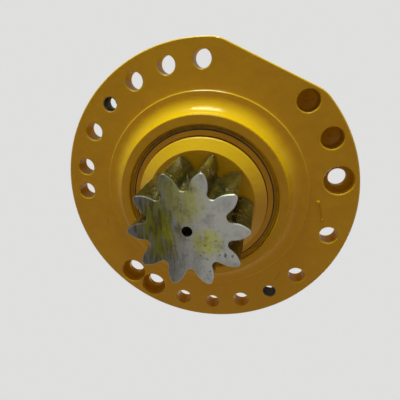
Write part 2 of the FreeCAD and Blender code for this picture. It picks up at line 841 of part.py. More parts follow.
def oil_seal():
    """A shaft seal: its case in the boss, a main lip towards the oil and a dust lip at the face."""
    lip = lip_radius + running_clearance
    wall = seal_lip_thickness
    case = seal_case_thickness
    ridge = (lip + seal_bore_radius) / 2
    outer = seal_bore_radius - seat_clearance
    return turned(
        (lip, seal_face + 0.6),
        (lip + 1.2, seal_face),
        (ridge - 1.2, seal_face + 0.4),
        (ridge, seal_face - 0.8),
        (ridge + 1.2, seal_face + 0.4),
        (outer - 0.8, seal_face),
        (outer, seal_face + 0.8),
        (outer, seal_top),
        (outer - case, seal_top),
        (outer - case, seal_face + 4.5),
        (lip + wall, seal_face + 4.5),
        (lip + wall, seal_face + 11.5),
        (lip + 1.0, seal_face + 11.5),
        (lip, seal_face + 9.5),
        (lip + 1.5, seal_face + 5.5),
        (lip + 1.5, seal_face + 2.2),
    )


def garter_spring():
    """The coil spring behind the main lip, as a plain ring of its outer shape."""
    centre = lip_radius + running_clearance + seal_lip_thickness + garter_radius + seat_clearance
    return Part.makeTorus(centre, garter_radius, FreeCAD.Vector(0, 0, seal_face + garter_height))


def seal_sleeve():
    """The hardened ring on the shaft's shoulder, on which the seal runs."""
    return tube(shoulder_radius + seat_clearance, lip_radius, sleeve_face, lower_bearing_base - 2, 0.8)


def bearing_section(bore, outer, width, base, big_end_up):
    """The radial section of a taper roller bearing: the roller's ends and radii, and its tilt."""
    section = outer - bore
    way = 1 if big_end_up else -1
    tilt = math.radians(cup_angle - roller_taper)
    length = roller_length_share * width
    mean = roller_share * section
    growth = math.tan(math.radians(roller_taper)) * length / 2
    middle = ((bore + outer) / 2, base + width / 2)
    along = (math.sin(tilt), way * math.cos(tilt))
    across = (math.cos(tilt), -way * math.sin(tilt))
    big = (middle[0] + along[0] * length / 2, middle[1] + along[1] * length / 2)
    small = (middle[0] - along[0] * length / 2, middle[1] - along[1] * length / 2)
    return big, small, mean + growth, mean - growth, along, across


def beside(point, across, distance):
    return (point[0] + across[0] * distance, point[1] + across[1] * distance)


def radius_at(first, second, height):
    """Where the line through two points of a section crosses a height."""
    share = (height - first[1]) / (second[1] - first[1])
    return first[0] + share * (second[0] - first[0])


def bearing_cup(bore, outer, width, base, big_end_up):
    """The outer ring with its tapered raceway; its thick end is flush with the bearing's back face."""
    big, small, big_r, small_r, along, across = bearing_section(bore, outer, width, base, big_end_up)
    first = beside(big, across, big_r + running_clearance)
    second = beside(small, across, small_r + running_clearance)
    low = base if big_end_up else base + cup_setback
    high = base + width - (cup_setback if big_end_up else 0.0)
    chamfer = 1.5
    return turned(
        (radius_at(first, second, low), low),
        (outer - chamfer, low),
        (outer, low + chamfer),
        (outer, high - chamfer),
        (outer - chamfer, high),
        (radius_at(first, second, high), high),
    )


def bearing_cone(bore, outer, width, base, big_end_up):
    """The inner ring, with a rib at each end of its raceway."""
    big, small, big_r, small_r, along, across = bearing_section(bore, outer, width, base, big_end_up)
    gap = running_clearance
    play = 0.3
    big_rib = 0.55 * big_r
    small_rib = 0.25 * small_r
    big_out = beside((big[0] + along[0] * play, big[1] + along[1] * play), across, -big_r - gap)
    small_out = beside((small[0] - along[0] * play, small[1] - along[1] * play), across, -small_r - gap)
    big_top = beside(big_out, across, big_rib)
    small_top = beside(small_out, across, small_rib)
    low, high = base, base + width
    big_face = high if big_end_up else low
    small_face = low if big_end_up else high
    seat = bore + seat_clearance
    return turned(
        (seat, small_face),
        (small_top[0], small_face),
        small_top,
        small_out,
        big_out,
        big_top,
        (big_top[0], big_face),
        (seat, big_face),
    )


def roller(bore, outer, width, base, big_end_up, growth=0.0):
    """One taper roller in its place, or larger all over as the cutter of a cage window."""
    big, small, big_r, small_r, along, across = bearing_section(bore, outer, width, base, big_end_up)
    direction = FreeCAD.Vector(along[0], 0, along[1])
    foot = FreeCAD.Vector(small[0], 0, small[1]) - direction * growth
    length = math.hypot(big[0] - small[0], big[1] - small[1]) + 2 * growth
    return Part.makeCone(small_r + growth, big_r + growth, length, foot, direction)


def bearing_cage(bore, outer, width, base, big_end_up):
    """A tapered sheet ring along the rollers' axes, with a window for each roller."""
    big, small, big_r, small_r, along, across = bearing_section(bore, outer, width, base, big_end_up)
    margin = 4.0
    half = cage_thickness / 2
    head = (big[0] + along[0] * margin, big[1] + along[1] * margin)
    foot = (small[0] - along[0] * margin, small[1] - along[1] * margin)
    sheet = turned(
        beside(foot, across, -half),
        beside(foot, across, half),
        beside(head, across, half),
        beside(head, across, -half),
    )
    window = roller(bore, outer, width, base, big_end_up, 0.4)
    return sheet.cut(ring_of(window, roller_count))


# Output shaft


def pinion_outline(inset, height):
    """The pinion's outline at a height, drawn in all round by an inset."""
    outline = tooth_outline(
        pinion_teeth, pinion_module * pinion_teeth / 2, pinion_pressure_angle,
        pinion_root_radius - inset, pinion_tip_radius - inset, pinion_phase,
        shift=pinion_shift, thinning=2 * inset, tip_round=pinion_tip_round,
    )
    return moved(outline, FreeCAD.Vector(0, 0, height))


def pinion_shaft():
    """The output shaft in one piece with its pinion, shoulder, bearing seats, thread and spline."""
    sections = [
        pinion_outline(pinion_edge_chamfer, pinion_end),
        pinion_outline(0.0, pinion_end + pinion_edge_chamfer),
        pinion_outline(0.0, tooth_top),
    ]
    teeth = outward(Part.makeLoft(sections, True, True))
    neck = pinion_root_radius - 1.0
    seat = lower_bearing_bore
    lower_end = lower_bearing_top + bearing_gap / 4
    thread = upper_bearing_bore - thread_step
    minor = spline_major_radius - spline_depth - 0.5
    shaft = turned(
        (0, tooth_top - 1),
        (neck, tooth_top - 1),
        (neck, shoulder_tip),
        (shoulder_tip_radius, shoulder_tip),
        (shoulder_radius - shoulder_step, shoulder_base),
        (shoulder_radius, shoulder_base + shoulder_step),
        (shoulder_radius, lower_bearing_base - 1),
        (shoulder_radius - 1, lower_bearing_base),
        (seat, lower_bearing_base),
        (seat, lower_end - 1),
        (seat - 1, lower_end),
        (upper_bearing_bore, lower_end),
        (upper_bearing_bore, upper_bearing_top - 1),
        (thread, upper_bearing_top - 1),
        (thread, nut_top),
        (minor, nut_top),
        (minor, shaft_top),
        (0, shaft_top),
    )
    spline = spline_bar(spline_teeth, spline_major_radius, spline_depth, nut_top, shaft_top)
    spline = spline.common(rod(spline_major_radius, nut_top, shaft_top, 1.5))
    body = teeth.fuse([shaft, spline])
    centre = turned(
        (0, pinion_end - 1),
        (centre_hole_radius + 1, pinion_end - 1),
        (centre_hole_radius - 1, pinion_end + 1),
        (centre_hole_radius - 1, pinion_end + centre_hole_depth / 2),
        (0, pinion_end + centre_hole_depth),
    )
    screw = moved(
        rod(end_screw_radius + seat_clearance, shaft_top - end_screw_length, shaft_top + 1),
        vector(end_screw_circle, 0),
    )
    return body.cut([centre] + ring_of(screw, end_screw_count))


def bearing_spacer():
    inner = lower_bearing_bore + seat_clearance
    return tube(inner, inner + spacer_wall, lower_bearing_top, upper_bearing_base, 1.0)


def lock_washer():
    """The tabbed washer under the nut, with the tab bent up into one of the nut's slots."""
    thread = upper_bearing_bore - thread_step + seat_clearance
    ring = tube(thread, nut_radius - nut_slot_depth - 1, upper_bearing_top, nut_base)
    width = nut_slot_width - 1
    inner_end = nut_radius - nut_slot_depth - 3
    tab = Part.makeBox(nut_radius + lock_washer_thickness - inner_end, width, lock_washer_thickness,
                       FreeCAD.Vector(inner_end, -width / 2, upper_bearing_top))
    hook = Part.makeBox(lock_washer_thickness, width, lock_washer_thickness + lock_tab_height,
                        FreeCAD.Vector(nut_radius, -width / 2, upper_bearing_top))
    return ring.fuse([spun(tab.fuse(hook), 360.0 * k / nut_slot_count) for k in range(nut_slot_count)])


def bearing_nut():
    """A round nut with spanner slots."""
    thread = upper_bearing_bore - thread_step + seat_clearance
    nut = tube(thread, nut_radius - seat_clearance, nut_base, nut_top, 1.5)
    slot = Part.makeBox(nut_slot_depth + 2, nut_slot_width, nut_height + 2,
                        FreeCAD.Vector(nut_radius - nut_slot_depth, -nut_slot_width / 2, nut_base - 1))
    return nut.cut(ring_of(slot, nut_slot_count, 180.0 / nut_slot_count))


def shaft_end_plate():
    """The plate that keeps the carrier on its spline."""
    plate = rod(end_plate_radius, shaft_top, shaft_top + end_plate_thickness, 1.0)
    countersink = turned(
        (0, shaft_top - 1),
        (end_screw_radius + seat_clearance, shaft_top - 1),
        (end_screw_radius + seat_clearance, shaft_top + 1),
        (2 * end_screw_radius + seat_clearance, shaft_top + 1 + end_screw_radius),
        (2 * end_screw_radius + seat_clearance, shaft_top + end_plate_thickness + 1),
        (0, shaft_top + end_plate_thickness + 1),
    )
    return plate.cut(ring_of(moved(countersink, vector(end_screw_circle, 0)), end_screw_count))


def end_plate_screws():
    """Countersunk screws, flush with the end plate."""
    top = shaft_top + end_plate_thickness
    screw = turned(
        (0, shaft_top + 2 - end_screw_length),
        (end_screw_radius, shaft_top + 2 - end_screw_length),
        (end_screw_radius, shaft_top + 1),
        (2 * end_screw_radius, shaft_top + 1 + end_screw_radius),
        (2 * end_screw_radius, top),
        (0, top),
    )
    screw = screw.cut(hexagon(0.8 * end_screw_radius * 2, top - 3, top + 1))
    return ring_of(moved(screw, vector(end_screw_circle, 0)), end_screw_count)


def sun_thrust_disc():
    low = shaft_top + end_plate_thickness
    return rod(thrust_disc_radius, low, low + thrust_disc_thickness, 0.8)


# Planet carriers


def post(inner, outer, half_angle, low, high):
    """One pillar of a carrier, a sector of a ring."""
    sector = Part.makeCylinder(outer, high - low, FreeCAD.Vector(0, 0, low), up, 2 * half_angle)
    return spun(sector.cut(rod(inner, low - 1, high + 1)), -half_angle)


def carrier_cage(count, base, top, upper_base, carrier_top, post_width, post_angle, window):
    """Two plates joined by pillars between the planets."""
    lower = tube(sun_spline_radius / 2, carrier_radius, base, top, 1.5)
    upper = tube(window, carrier_radius, upper_base, carrier_top, 1.5)
    outer = carrier_radius - post_inset
    pillar = post(outer - post_width, outer, post_angle, top - 1, upper_base + 1)
    return lower.fuse([upper] + ring_of(pillar, count, 180.0 / count))


def pin_cutters(circle, count, base, carrier_top):
    """Blind holes for the planet pins, each with a groove for its retaining ring."""
    hole = rod(pin_radius + seat_clearance, base + pin_floor, carrier_top + 1)
    ring_low = carrier_top - 1.5 - pin_ring_thickness
    groove = rod(pin_radius + pin_ring_depth, ring_low, ring_low + pin_ring_thickness)
    return ring_of(moved(hole.fuse(groove), vector(circle, 0)), count)


def planet_pins(circle, count, base, carrier_top):
    top = carrier_top - 1.5 - pin_ring_thickness
    return ring_of(moved(rod(pin_radius, base + pin_floor, top, 1.5), vector(circle, 0)), count)


def pin_rings(circle, count, carrier_top):
    """Open retaining rings above the planet pins."""
    low = carrier_top - 1.5 - pin_ring_thickness
    high = low + pin_ring_thickness
    ring = tube(pin_radius - pin_ring_wall, pin_radius + pin_ring_depth - seat_clearance, low, high)
    gap = Part.makeBox(2 * pin_radius, 7.0, 4.0, FreeCAD.Vector(0, -3.5, low - 1))
    return ring_of(moved(ring.cut(gap), vector(circle, 0)), count)


def thrust_washers(circle, count, heights):
    washers = []
    for low in heights:
        inner = pin_radius + seat_clearance
        washer = tube(inner, inner + washer_wall, low, low + washer_thickness, 0.4)
        washers += ring_of(moved(washer, vector(circle, 0)), count)
    return washers


def planet(teeth, circle, low, high):
    """A planet at angle 0, with a tooth space towards the sun, bored for its bush."""
    gear = stage_gear(teeth, 180.0 + 180.0 / teeth, low, high)
    gear = gear.cut(rod(bush_outer + seat_clearance, low - 1, high + 1))
    return moved(gear, vector(circle, 0))


def bush(circle, low, high):
    return moved(tube(pin_radius + running_clearance, bush_outer, low, high, 0.5), vector(circle, 0))


def second_stage_carrier():
    """The output carrier: splined to the shaft by its hub, with four pinned planets."""
    cage = carrier_cage(
        second_planet_count, second_plate_base, second_plate_top, second_upper_base, second_carrier_top,
        second_post_width, second_post_half_angle, sun_spline_radius + second_window_gap,
    )
    hub = tube(sun_spline_radius / 2, second_hub_radius, hub_base, second_plate_base + 1, 1.5)
    bore = spline_bar(spline_teeth, spline_major_radius, spline_depth, hub_base - 1, shaft_top + 1, seat_clearance)
    recess = rod(end_plate_radius + seat_clearance, shaft_top, second_plate_top + 1)
    pins = pin_cutters(second_pin_circle, second_planet_count, second_plate_base, second_carrier_top)
    return cage.fuse(hub).cut([bore, recess] + pins)


def second_stage_sun():
    """The sun that the first carrier turns: teeth below, spline and ring groove above."""
    low = shaft_top + end_plate_thickness + thrust_disc_thickness + end_play
    teeth = stage_gear(second_sun_teeth, 0.0, low, second_gear_top - end_play)
    neck = rod(second_sun_root, second_gear_top - 2, first_hub_base)
    bar = spline_bar(sun_spline_teeth, sun_spline_radius, sun_spline_depth, first_hub_base - 1, sun_stub_top)
    bar = bar.common(rod(sun_spline_radius, first_hub_base - 1, sun_stub_top, 1.0))
    core = sun_spline_radius - sun_spline_depth - 0.6
    groove = tube(core, sun_spline_radius + 2, sun_ring_base, sun_ring_base + sun_ring_thickness)
    return teeth.fuse([neck, bar]).cut(groove)


def sun_ring():
    """The open ring that keeps the first carrier on the second sun."""
    core = sun_spline_radius - sun_spline_depth - 0.6 + seat_clearance
    ring = tube(core, core + sun_ring_wall, sun_ring_base, sun_ring_base + sun_ring_thickness)
    gap = Part.makeBox(
        2 * sun_spline_radius, sun_ring_gap, sun_ring_thickness + 2,
        FreeCAD.Vector(0, -sun_ring_gap / 2, sun_ring_base - 1),
    )
    return ring.cut(gap)


def first_stage_carrier():
    """The carrier of the fast stage, splined to the second sun, with three pinned planets."""
    cage = carrier_cage(
        first_planet_count, first_plate_base, first_plate_top, first_upper_base, first_carrier_top,
        first_post_width, first_post_half_angle, sun_spline_radius + first_window_gap,
    )
    hub = tube(sun_spline_radius / 2, first_hub_radius, first_hub_base, first_plate_base + 1, 1.0)
    bore = spline_bar(
        sun_spline_teeth, sun_spline_radius, sun_spline_depth,
        first_hub_base - 1, first_plate_top + 1, seat_clearance,
    )
    recess = rod(first_recess_radius, sun_ring_base, first_plate_top + 1)
    pins = pin_cutters(first_pin_circle, first_planet_count, first_plate_base, first_carrier_top)
    return cage.fuse(hub).cut([bore, recess] + pins)


def first_stage_sun():
    """The input sun, with a shaft up to its splined hub for the motor."""
    low = sun_stub_top + sun_gap
    teeth = stage_gear(first_sun_teeth, 0.0, low, first_gear_top)
    top = boss_top - motor_pilot_depth - input_hub_gap
    shaft = turned(
        (0, first_gear_top - 1),
        (input_shaft_radius, first_gear_top - 1),
        (input_shaft_radius, top - input_hub_length),
        (input_hub_radius, top - input_hub_length + input_hub_radius - input_shaft_radius),
        (input_hub_radius, top - 1.5),
        (input_hub_radius - 1.5, top),
        (0, top),
    )
    bore = spline_bar(input_spline_teeth, input_spline_radius, input_spline_depth, top - input_spline_length, top + 1)
    return teeth.fuse(shaft).cut(bore)


# Ports


def plug(reach, angle, height):
    """A screw plug with a collar and a hexagon socket, its collar on the sealing washer."""
    seat = seal_washer_thickness
    top = seat + plug_head_height
    body = turned(
        (0, -plug_thread_length),
        (port_radius - 1.5, -plug_thread_length),
        (port_radius - seat_clearance, 1.5 - plug_thread_length),
        (port_radius - seat_clearance, seat),
        (plug_head_radius, seat),
        (plug_head_radius, seat + plug_collar),
        (plug_head_radius - 2, seat + plug_collar),
        (plug_head_radius - 2, top - 1),
        (plug_head_radius - 3, top),
        (0, top),
    )
    body = body.cut(hexagon(plug_socket_flats, top - plug_socket_depth, top + 1))
    return radial(body, angle, reach, height)


def plug_washers():
    ring = tube(port_radius + seat_clearance, plug_head_radius, 0, seal_washer_thickness)
    cover_reach = head_radius - port_spot_depth
    places = [(drain_reach, drain_angle, drain_height), (cover_reach, fill_angle, port_height)]
    return [radial(ring, angle, reach, height) for reach, angle, height in places]


def breather():
    """An elbow screwed into the cover's side, with a vented cap on its upright end."""
    reach = head_radius - port_spot_depth
    stem = turned(
        (0, -plug_thread_length),
        (port_radius - 1.5, -plug_thread_length),
        (port_radius - seat_clearance, 1.5 - plug_thread_length),
        (port_radius - seat_clearance, 0),
        (plug_head_radius - 2, 0),
        (plug_head_radius - 2, breather_stem / 2),
        (port_radius, breather_stem / 2),
        (port_radius, breather_stem),
        (0, breather_stem),
    )
    elbow = moved(Part.makeSphere(port_radius), FreeCAD.Vector(0, 0, breather_stem))
    lying = radial(stem.fuse(elbow), 0, reach, port_height)
    cap = turned(
        (0, 0),
        (port_radius, 0),
        (port_radius, breather_stem / 2),
        (breather_cap_radius, breather_stem / 2),
        (breather_cap_radius, breather_stem / 2 + breather_cap_height - 3),
        (breather_cap_radius - 3, breather_stem / 2 + breather_cap_height),
        (0, breather_stem / 2 + breather_cap_height),
    )
    cap = moved(cap, FreeCAD.Vector(reach + breather_stem, 0, port_height))
    return spun(lying.fuse(cap), breather_angle)


def dipstick_tube():
    inner = dipstick_tube_radius - dipstick_tube_wall
    low = body_top - 2 - dipstick_tube_seat
    return moved(tube(inner, dipstick_tube_radius, low, dipstick_tube_top),
                 vector(dipstick_radius_out, dipstick_angle))


def dipstick_nut():
    """The hexagon nut that holds the tube on its pad."""
    low = body_top - 2
    nut = hexagon(2 * dipstick_nut_radius * math.cos(math.pi / 6), low, low + dipstick_nut_height)
    nut = nut.common(rod(dipstick_nut_radius, low, low + dipstick_nut_height, 1.2))
    nut = nut.cut(rod(dipstick_tube_radius + seat_clearance, low - 1, low + dipstick_nut_height + 1))
    return moved(nut, vector(dipstick_radius_out, dipstick_angle))


def dipstick():
    """The gauge rod with its cap and pull loop; it lifts straight out of the tube."""
    top = dipstick_tube_top + dipstick_cap_height
    skirt = dipstick_tube_radius + 0.3
    stem = turned(
        (0, dipstick_rod_end),
        (dipstick_rod_radius, dipstick_rod_end),
        (dipstick_rod_radius, dipstick_tube_top),
        (skirt, dipstick_tube_top),
        (skirt, dipstick_tube_top - 6),
        (dipstick_cap_radius, dipstick_tube_top - 6),
        (dipstick_cap_radius, top - 2),
        (dipstick_cap_radius - 2, top),
        (0, top),
    )
    loop = Part.makeTorus(
        dipstick_loop_radius, dipstick_loop_wire,
        FreeCAD.Vector(0, 0, top + dipstick_loop_radius + dipstick_loop_wire - 1.5), FreeCAD.Vector(0, 1, 0),
    )
    return moved(stem.fuse(loop), vector(dipstick_radius_out, dipstick_angle))


def save(name, shape):
    """Writes one node. A list of solids is kept as a group of separate solids."""
    if isinstance(shape, list):
        shape = Part.makeCompound(shape)
    elif len(shape.Solids) == 1:
        shape = shape.Solids[0]
    if not shape.isValid():
        raise ValueError(name + " is not a valid solid")
    shape.exportStep("parts/" + name + ".step")


def main():
    os.makedirs("parts", exist_ok=True)
    lower = (lower_bearing_bore, lower_bearing_outer, lower_bearing_width, lower_bearing_base, False)
    upper = (upper_bearing_bore, upper_bearing_outer, upper_bearing_width, upper_bearing_base, True)
    groove_low = body_top - 2 * o_ring_section + o_ring_squeeze
    groove_high = ring_top + 2 * o_ring_section - o_ring_squeeze
    second_heights = (second_plate_top, second_gear_top + end_play)
    first_heights = (first_plate_top, first_gear_top + end_play)
    save("lower_housing", lower_housing())
    save("ring_gear", ring_gear())
    save("top_cover", top_cover())
    save("housing_bolts", housing_bolts())
    save("housing_washers", housing_washers())
    save("dowel_pins", dowel_pins())
    save("lower_o_ring", o_ring(groove_low, body_top))
    save("upper_o_ring", o_ring(ring_top, groove_high))
    save("oil_seal", oil_seal())
    save("garter_spring", garter_spring())
    save("seal_sleeve", seal_sleeve())
    for name, sizes in (("lower_bearing", lower), ("upper_bearing", upper)):
        save(name + "_cup", bearing_cup(*sizes))
        save(name + "_cone", bearing_cone(*sizes))
        save(name + "_rollers", ring_of(roller(*sizes), roller_count))
        save(name + "_cage", bearing_cage(*sizes))
    save("bearing_spacer", bearing_spacer())
    save("lock_washer", lock_washer())
    save("bearing_nut", bearing_nut())
    save("pinion_shaft", pinion_shaft())
    save("shaft_end_plate", shaft_end_plate())
    save("end_plate_screws", end_plate_screws())
    save("sun_thrust_disc", sun_thrust_disc())
    save("second_stage_carrier", second_stage_carrier())
    save("second_planet_pins", planet_pins(
        second_pin_circle, second_planet_count, second_plate_base, second_carrier_top))
    save("second_pin_rings", pin_rings(second_pin_circle, second_planet_count, second_carrier_top))
    save("second_thrust_washers", thrust_washers(second_pin_circle, second_planet_count, second_heights))
    save("second_stage_sun", second_stage_sun())
    save("sun_retaining_ring", sun_ring())
    save("first_stage_carrier", first_stage_carrier())
    save("first_planet_pins", planet_pins(
        first_pin_circle, first_planet_count, first_plate_base, first_carrier_top))
    save("first_pin_rings", pin_rings(first_pin_circle, first_planet_count, first_carrier_top))
    save("first_thrust_washers", thrust_washers(first_pin_circle, first_planet_count, first_heights))
    save("first_stage_sun", first_stage_sun())
    stages = (
        ("second", second_planet_count, second_planet_teeth, second_pin_circle, second_gear_base, second_gear_top),
        ("first", first_planet_count, first_planet_teeth, first_pin_circle, first_gear_base, first_gear_top),
    )
    for stage, count, teeth, circle, low, high in stages:
        gears = ring_of(planet(teeth, circle, low, high), count)
        bushes = ring_of(bush(circle, low, high), count)
        for k in range(count):
            save(stage + "_planet_" + str(k + 1), gears[k])
            save(stage + "_planet_bush_" + str(k + 1), bushes[k])
    save("drain_plug", plug(drain_reach, drain_angle, drain_height))
    save("fill_plug", plug(head_radius - port_spot_depth, fill_angle, port_height))
    save("plug_washers", plug_washers())
    save("breather", breather())
    save("dipstick_tube", dipstick_tube())
    save("dipstick_nut", dipstick_nut())
    save("dipstick", dipstick())


main()
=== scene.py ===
import math

import bmesh
import bpy
from bpy.props import FloatProperty, FloatVectorProperty, IntProperty, PointerProperty
from mathutils import Matrix, Vector


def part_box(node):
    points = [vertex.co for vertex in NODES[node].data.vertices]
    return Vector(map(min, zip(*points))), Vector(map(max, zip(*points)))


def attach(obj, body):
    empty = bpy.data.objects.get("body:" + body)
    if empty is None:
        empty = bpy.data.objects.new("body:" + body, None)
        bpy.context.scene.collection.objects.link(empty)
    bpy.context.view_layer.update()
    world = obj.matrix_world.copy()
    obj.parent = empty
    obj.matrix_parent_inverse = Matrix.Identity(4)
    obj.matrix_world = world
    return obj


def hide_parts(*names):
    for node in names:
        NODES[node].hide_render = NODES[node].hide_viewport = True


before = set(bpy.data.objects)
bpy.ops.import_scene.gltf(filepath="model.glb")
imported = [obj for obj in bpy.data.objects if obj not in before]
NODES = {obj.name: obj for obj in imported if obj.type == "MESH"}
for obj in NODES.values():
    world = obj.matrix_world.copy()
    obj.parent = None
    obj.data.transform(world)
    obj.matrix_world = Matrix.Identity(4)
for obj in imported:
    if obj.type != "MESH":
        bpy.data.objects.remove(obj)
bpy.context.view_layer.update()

bl_info = {
    "name": "Swing Gearbox",
    "version": (1, 0, 0),
    "blender": (4, 5, 0),
    "location": "View3D > Sidebar > Swing Gearbox",
    "description": "Finishes, threads, knurls and paint runs of a planetary swing gearbox",
    "category": "Object",
}

BOLT_CIRCLE = 0.197
PINION_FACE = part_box("pinion_shaft")[0].z


def colour_of(label, text, value):
    return FloatVectorProperty(
        name=label, description=text, subtype="COLOR", size=3, min=0.0, max=1.0, default=value
    )


def length_of(label, text, value):
    return FloatProperty(
        name=label, description=text, unit="LENGTH", min=0.0, precision=5, default=value
    )


def share_of(label, text, value):
    return FloatProperty(name=label, description=text, subtype="FACTOR", min=0.0, max=1.0, default=value)


class PaintSettings(bpy.types.PropertyGroup):
    colour: colour_of("Paint", "Colour of the gloss paint", (0.77, 0.475, 0.0010))
    thin_colour: colour_of("Thin paint", "Colour where the coat lies thin", (0.66, 0.345, 0.0010))
    # Edge colour: paint drawn thin over the edges, lightened as a painted highlight
    thin_edge_and_highlight_colour: colour_of("Edges", "Paint that has drawn thin over the edges", (1.0, 0.80, 0.060))
    # Hole wall colour: a thin dry coat, darkened as painted shade in the holes
    wall_coat_and_shade_colour: colour_of("Hole walls", "Colour of the thin dry coat in the holes", (0.38, 0.190, 0.0010))
    # Dirt colour, also painted shade: the occlusion lays it into corners
    dirt_and_shade_colour: colour_of("Dirt", "Colour of the dirt in corners", (0.045, 0.030, 0.006))
    iron_colour: colour_of("Bare iron", "Machined iron inside the housing", (0.34, 0.33, 0.31))
    roughness: share_of("Roughness", "Roughness of the paint", 0.24)
    peel_size: length_of("Peel size", "Width of one dimple of the sprayed coat", 0.0035)
    peel_depth: length_of("Peel depth", "Depth of the sprayed coat's dimples", 0.00016)
    cast_size: length_of("Cast grain", "Width of one grain of the cast skin", 0.0042)
    cast_depth: length_of("Cast depth", "Depth of the cast skin's grain", 0.0007)


class PinionSettings(bpy.types.PropertyGroup):
    steel: colour_of("Steel", "Worn end face of the pinion", (0.440, 0.430, 0.405))
    dark_steel: colour_of("Dark steel", "Scale and pits on the end face", (0.070, 0.064, 0.056))
    oil: colour_of("Oiled flank", "Oiled sides of the teeth", (0.036, 0.031, 0.008))
    film: colour_of("Paint film", "Tint of the thin overspray on the end face", (1.0, 1.0, 0.075))
    journal: colour_of("Journal", "Ground seats of the shaft", (0.52, 0.51, 0.50))


class MetalSettings(bpy.types.PropertyGroup):
    gear: colour_of("Inner gears", "Case hardened gear steel", (0.22, 0.215, 0.205))
    bearing: colour_of("Bearings", "Ground bearing steel", (0.58, 0.58, 0.59))
    cage: colour_of("Cages", "Pressed steel cages", (0.30, 0.29, 0.27))
    spring: colour_of("Spring", "Drawn spring wire", (0.20, 0.205, 0.22))
    black: colour_of("Blacked steel", "Black oxide on the bolts", (0.028, 0.027, 0.028))
    zinc: colour_of("Zinc", "Passivated zinc plate", (0.56, 0.50, 0.33))
    iron: colour_of("Carriers", "Nodular iron of the carriers", (0.13, 0.13, 0.135))
    bronze: colour_of("Bronze", "Bushes and thrust washers", (0.53, 0.31, 0.12))
    copper: colour_of("Copper", "Sealing washers", (0.62, 0.26, 0.13))
    brass: colour_of("Brass", "Breather and dipstick parts", (0.62, 0.42, 0.14))


class RubberSettings(bpy.types.PropertyGroup):
    black: colour_of("Rubber", "O-rings", (0.012, 0.012, 0.012))
    seal: colour_of("Seal rubber", "Shaft seal", (0.020, 0.017, 0.010))
    overspray: colour_of("Overspray", "Paint sprayed over the seal", (0.72, 0.47, 0.006))
    grease: colour_of("Grease", "Old grease at the seal's lip", (0.020, 0.015, 0.006))


class ThreadSettings(bpy.types.PropertyGroup):
    pitch: length_of("Pitch", "Rise of the jack holes' thread in one turn", 0.0025)
    ridge: length_of("Ridge", "Height of the jack holes' thread", 0.00115)
    jack_radius: length_of("Jack hole", "Radius of the jack holes", 0.0105)
    motor_pitch: length_of("Motor pitch", "Rise of the motor holes' thread in one turn", 0.002)
    motor_ridge: length_of("Motor ridge", "Height of the motor holes' thread", 0.0009)
    motor_radius: length_of("Motor hole", "Radius of the motor bolt holes", 0.007)
    motor_circle: length_of("Motor circle", "Radius of the motor bolts' circle", 0.100)


class KnurlSettings(bpy.types.PropertyGroup):
    bolt_circle: length_of("Bolt circle", "Radius of the long bolts' circle", 0.1395)
    head_radius: length_of("Head radius", "Radius of a bolt's head", 0.0105)
    depth: length_of("Ridge depth", "Height of a knurl's ridge", 0.00045)
    ridges: IntProperty(name="Ridges", description="Ridges round one bolt head", min=12, default=40)
    cap_ridges: IntProperty(name="Cap ribs", description="Ribs round a cap", min=8, default=28)
    cap_depth: length_of("Rib depth", "Height of a cap's rib", 0.0006)
    breather_radius: length_of("Breather cap", "Radius of the breather's cap", 0.013)
    breather_height: length_of("Breather height", "Height of the ribs' middle on the breather's cap", 0.3635)
    dipstick_radius: length_of("Dipstick cap", "Radius of the dipstick's cap", 0.0105)
    dipstick_height: length_of("Dipstick height", "Height of the ribs' middle on the dipstick's cap", 0.3525)


class SpringSettings(bpy.types.PropertyGroup):
    turns: IntProperty(name="Turns", description="Turns of the garter spring", min=20, default=260)
    wire: length_of("Wire", "Radius of the spring's wire", 0.00034)


class StageSettings(bpy.types.PropertyGroup):
    floor_height: FloatProperty(
        name="Floor", description="Height of the floor", unit="LENGTH", default=-0.85
    )
    floor_colour: colour_of("Floor colour", "Pale floor, as it is seen", (0.76, 0.80, 0.83))
    floor_seen: share_of("Floor light", "Light that the floor adds where it is seen", 0.26)
    floor_glow: colour_of("Floor glow", "Colour of the light that the floor throws back", (0.50, 0.37, 0.29))
    backdrop: colour_of("Backdrop", "Pale background", (0.74, 0.74, 0.735))
    ambient: share_of("Room light", "Strength of the room's light", 0.385)
    key_power: FloatProperty(
        name="Main lamp", description="Power of the main lamp", unit="POWER", min=0.0, default=8.4
    )
    fill_power: FloatProperty(
        name="Top lamp", description="Power of the top lamp", unit="POWER", min=0.0, default=2.6
    )


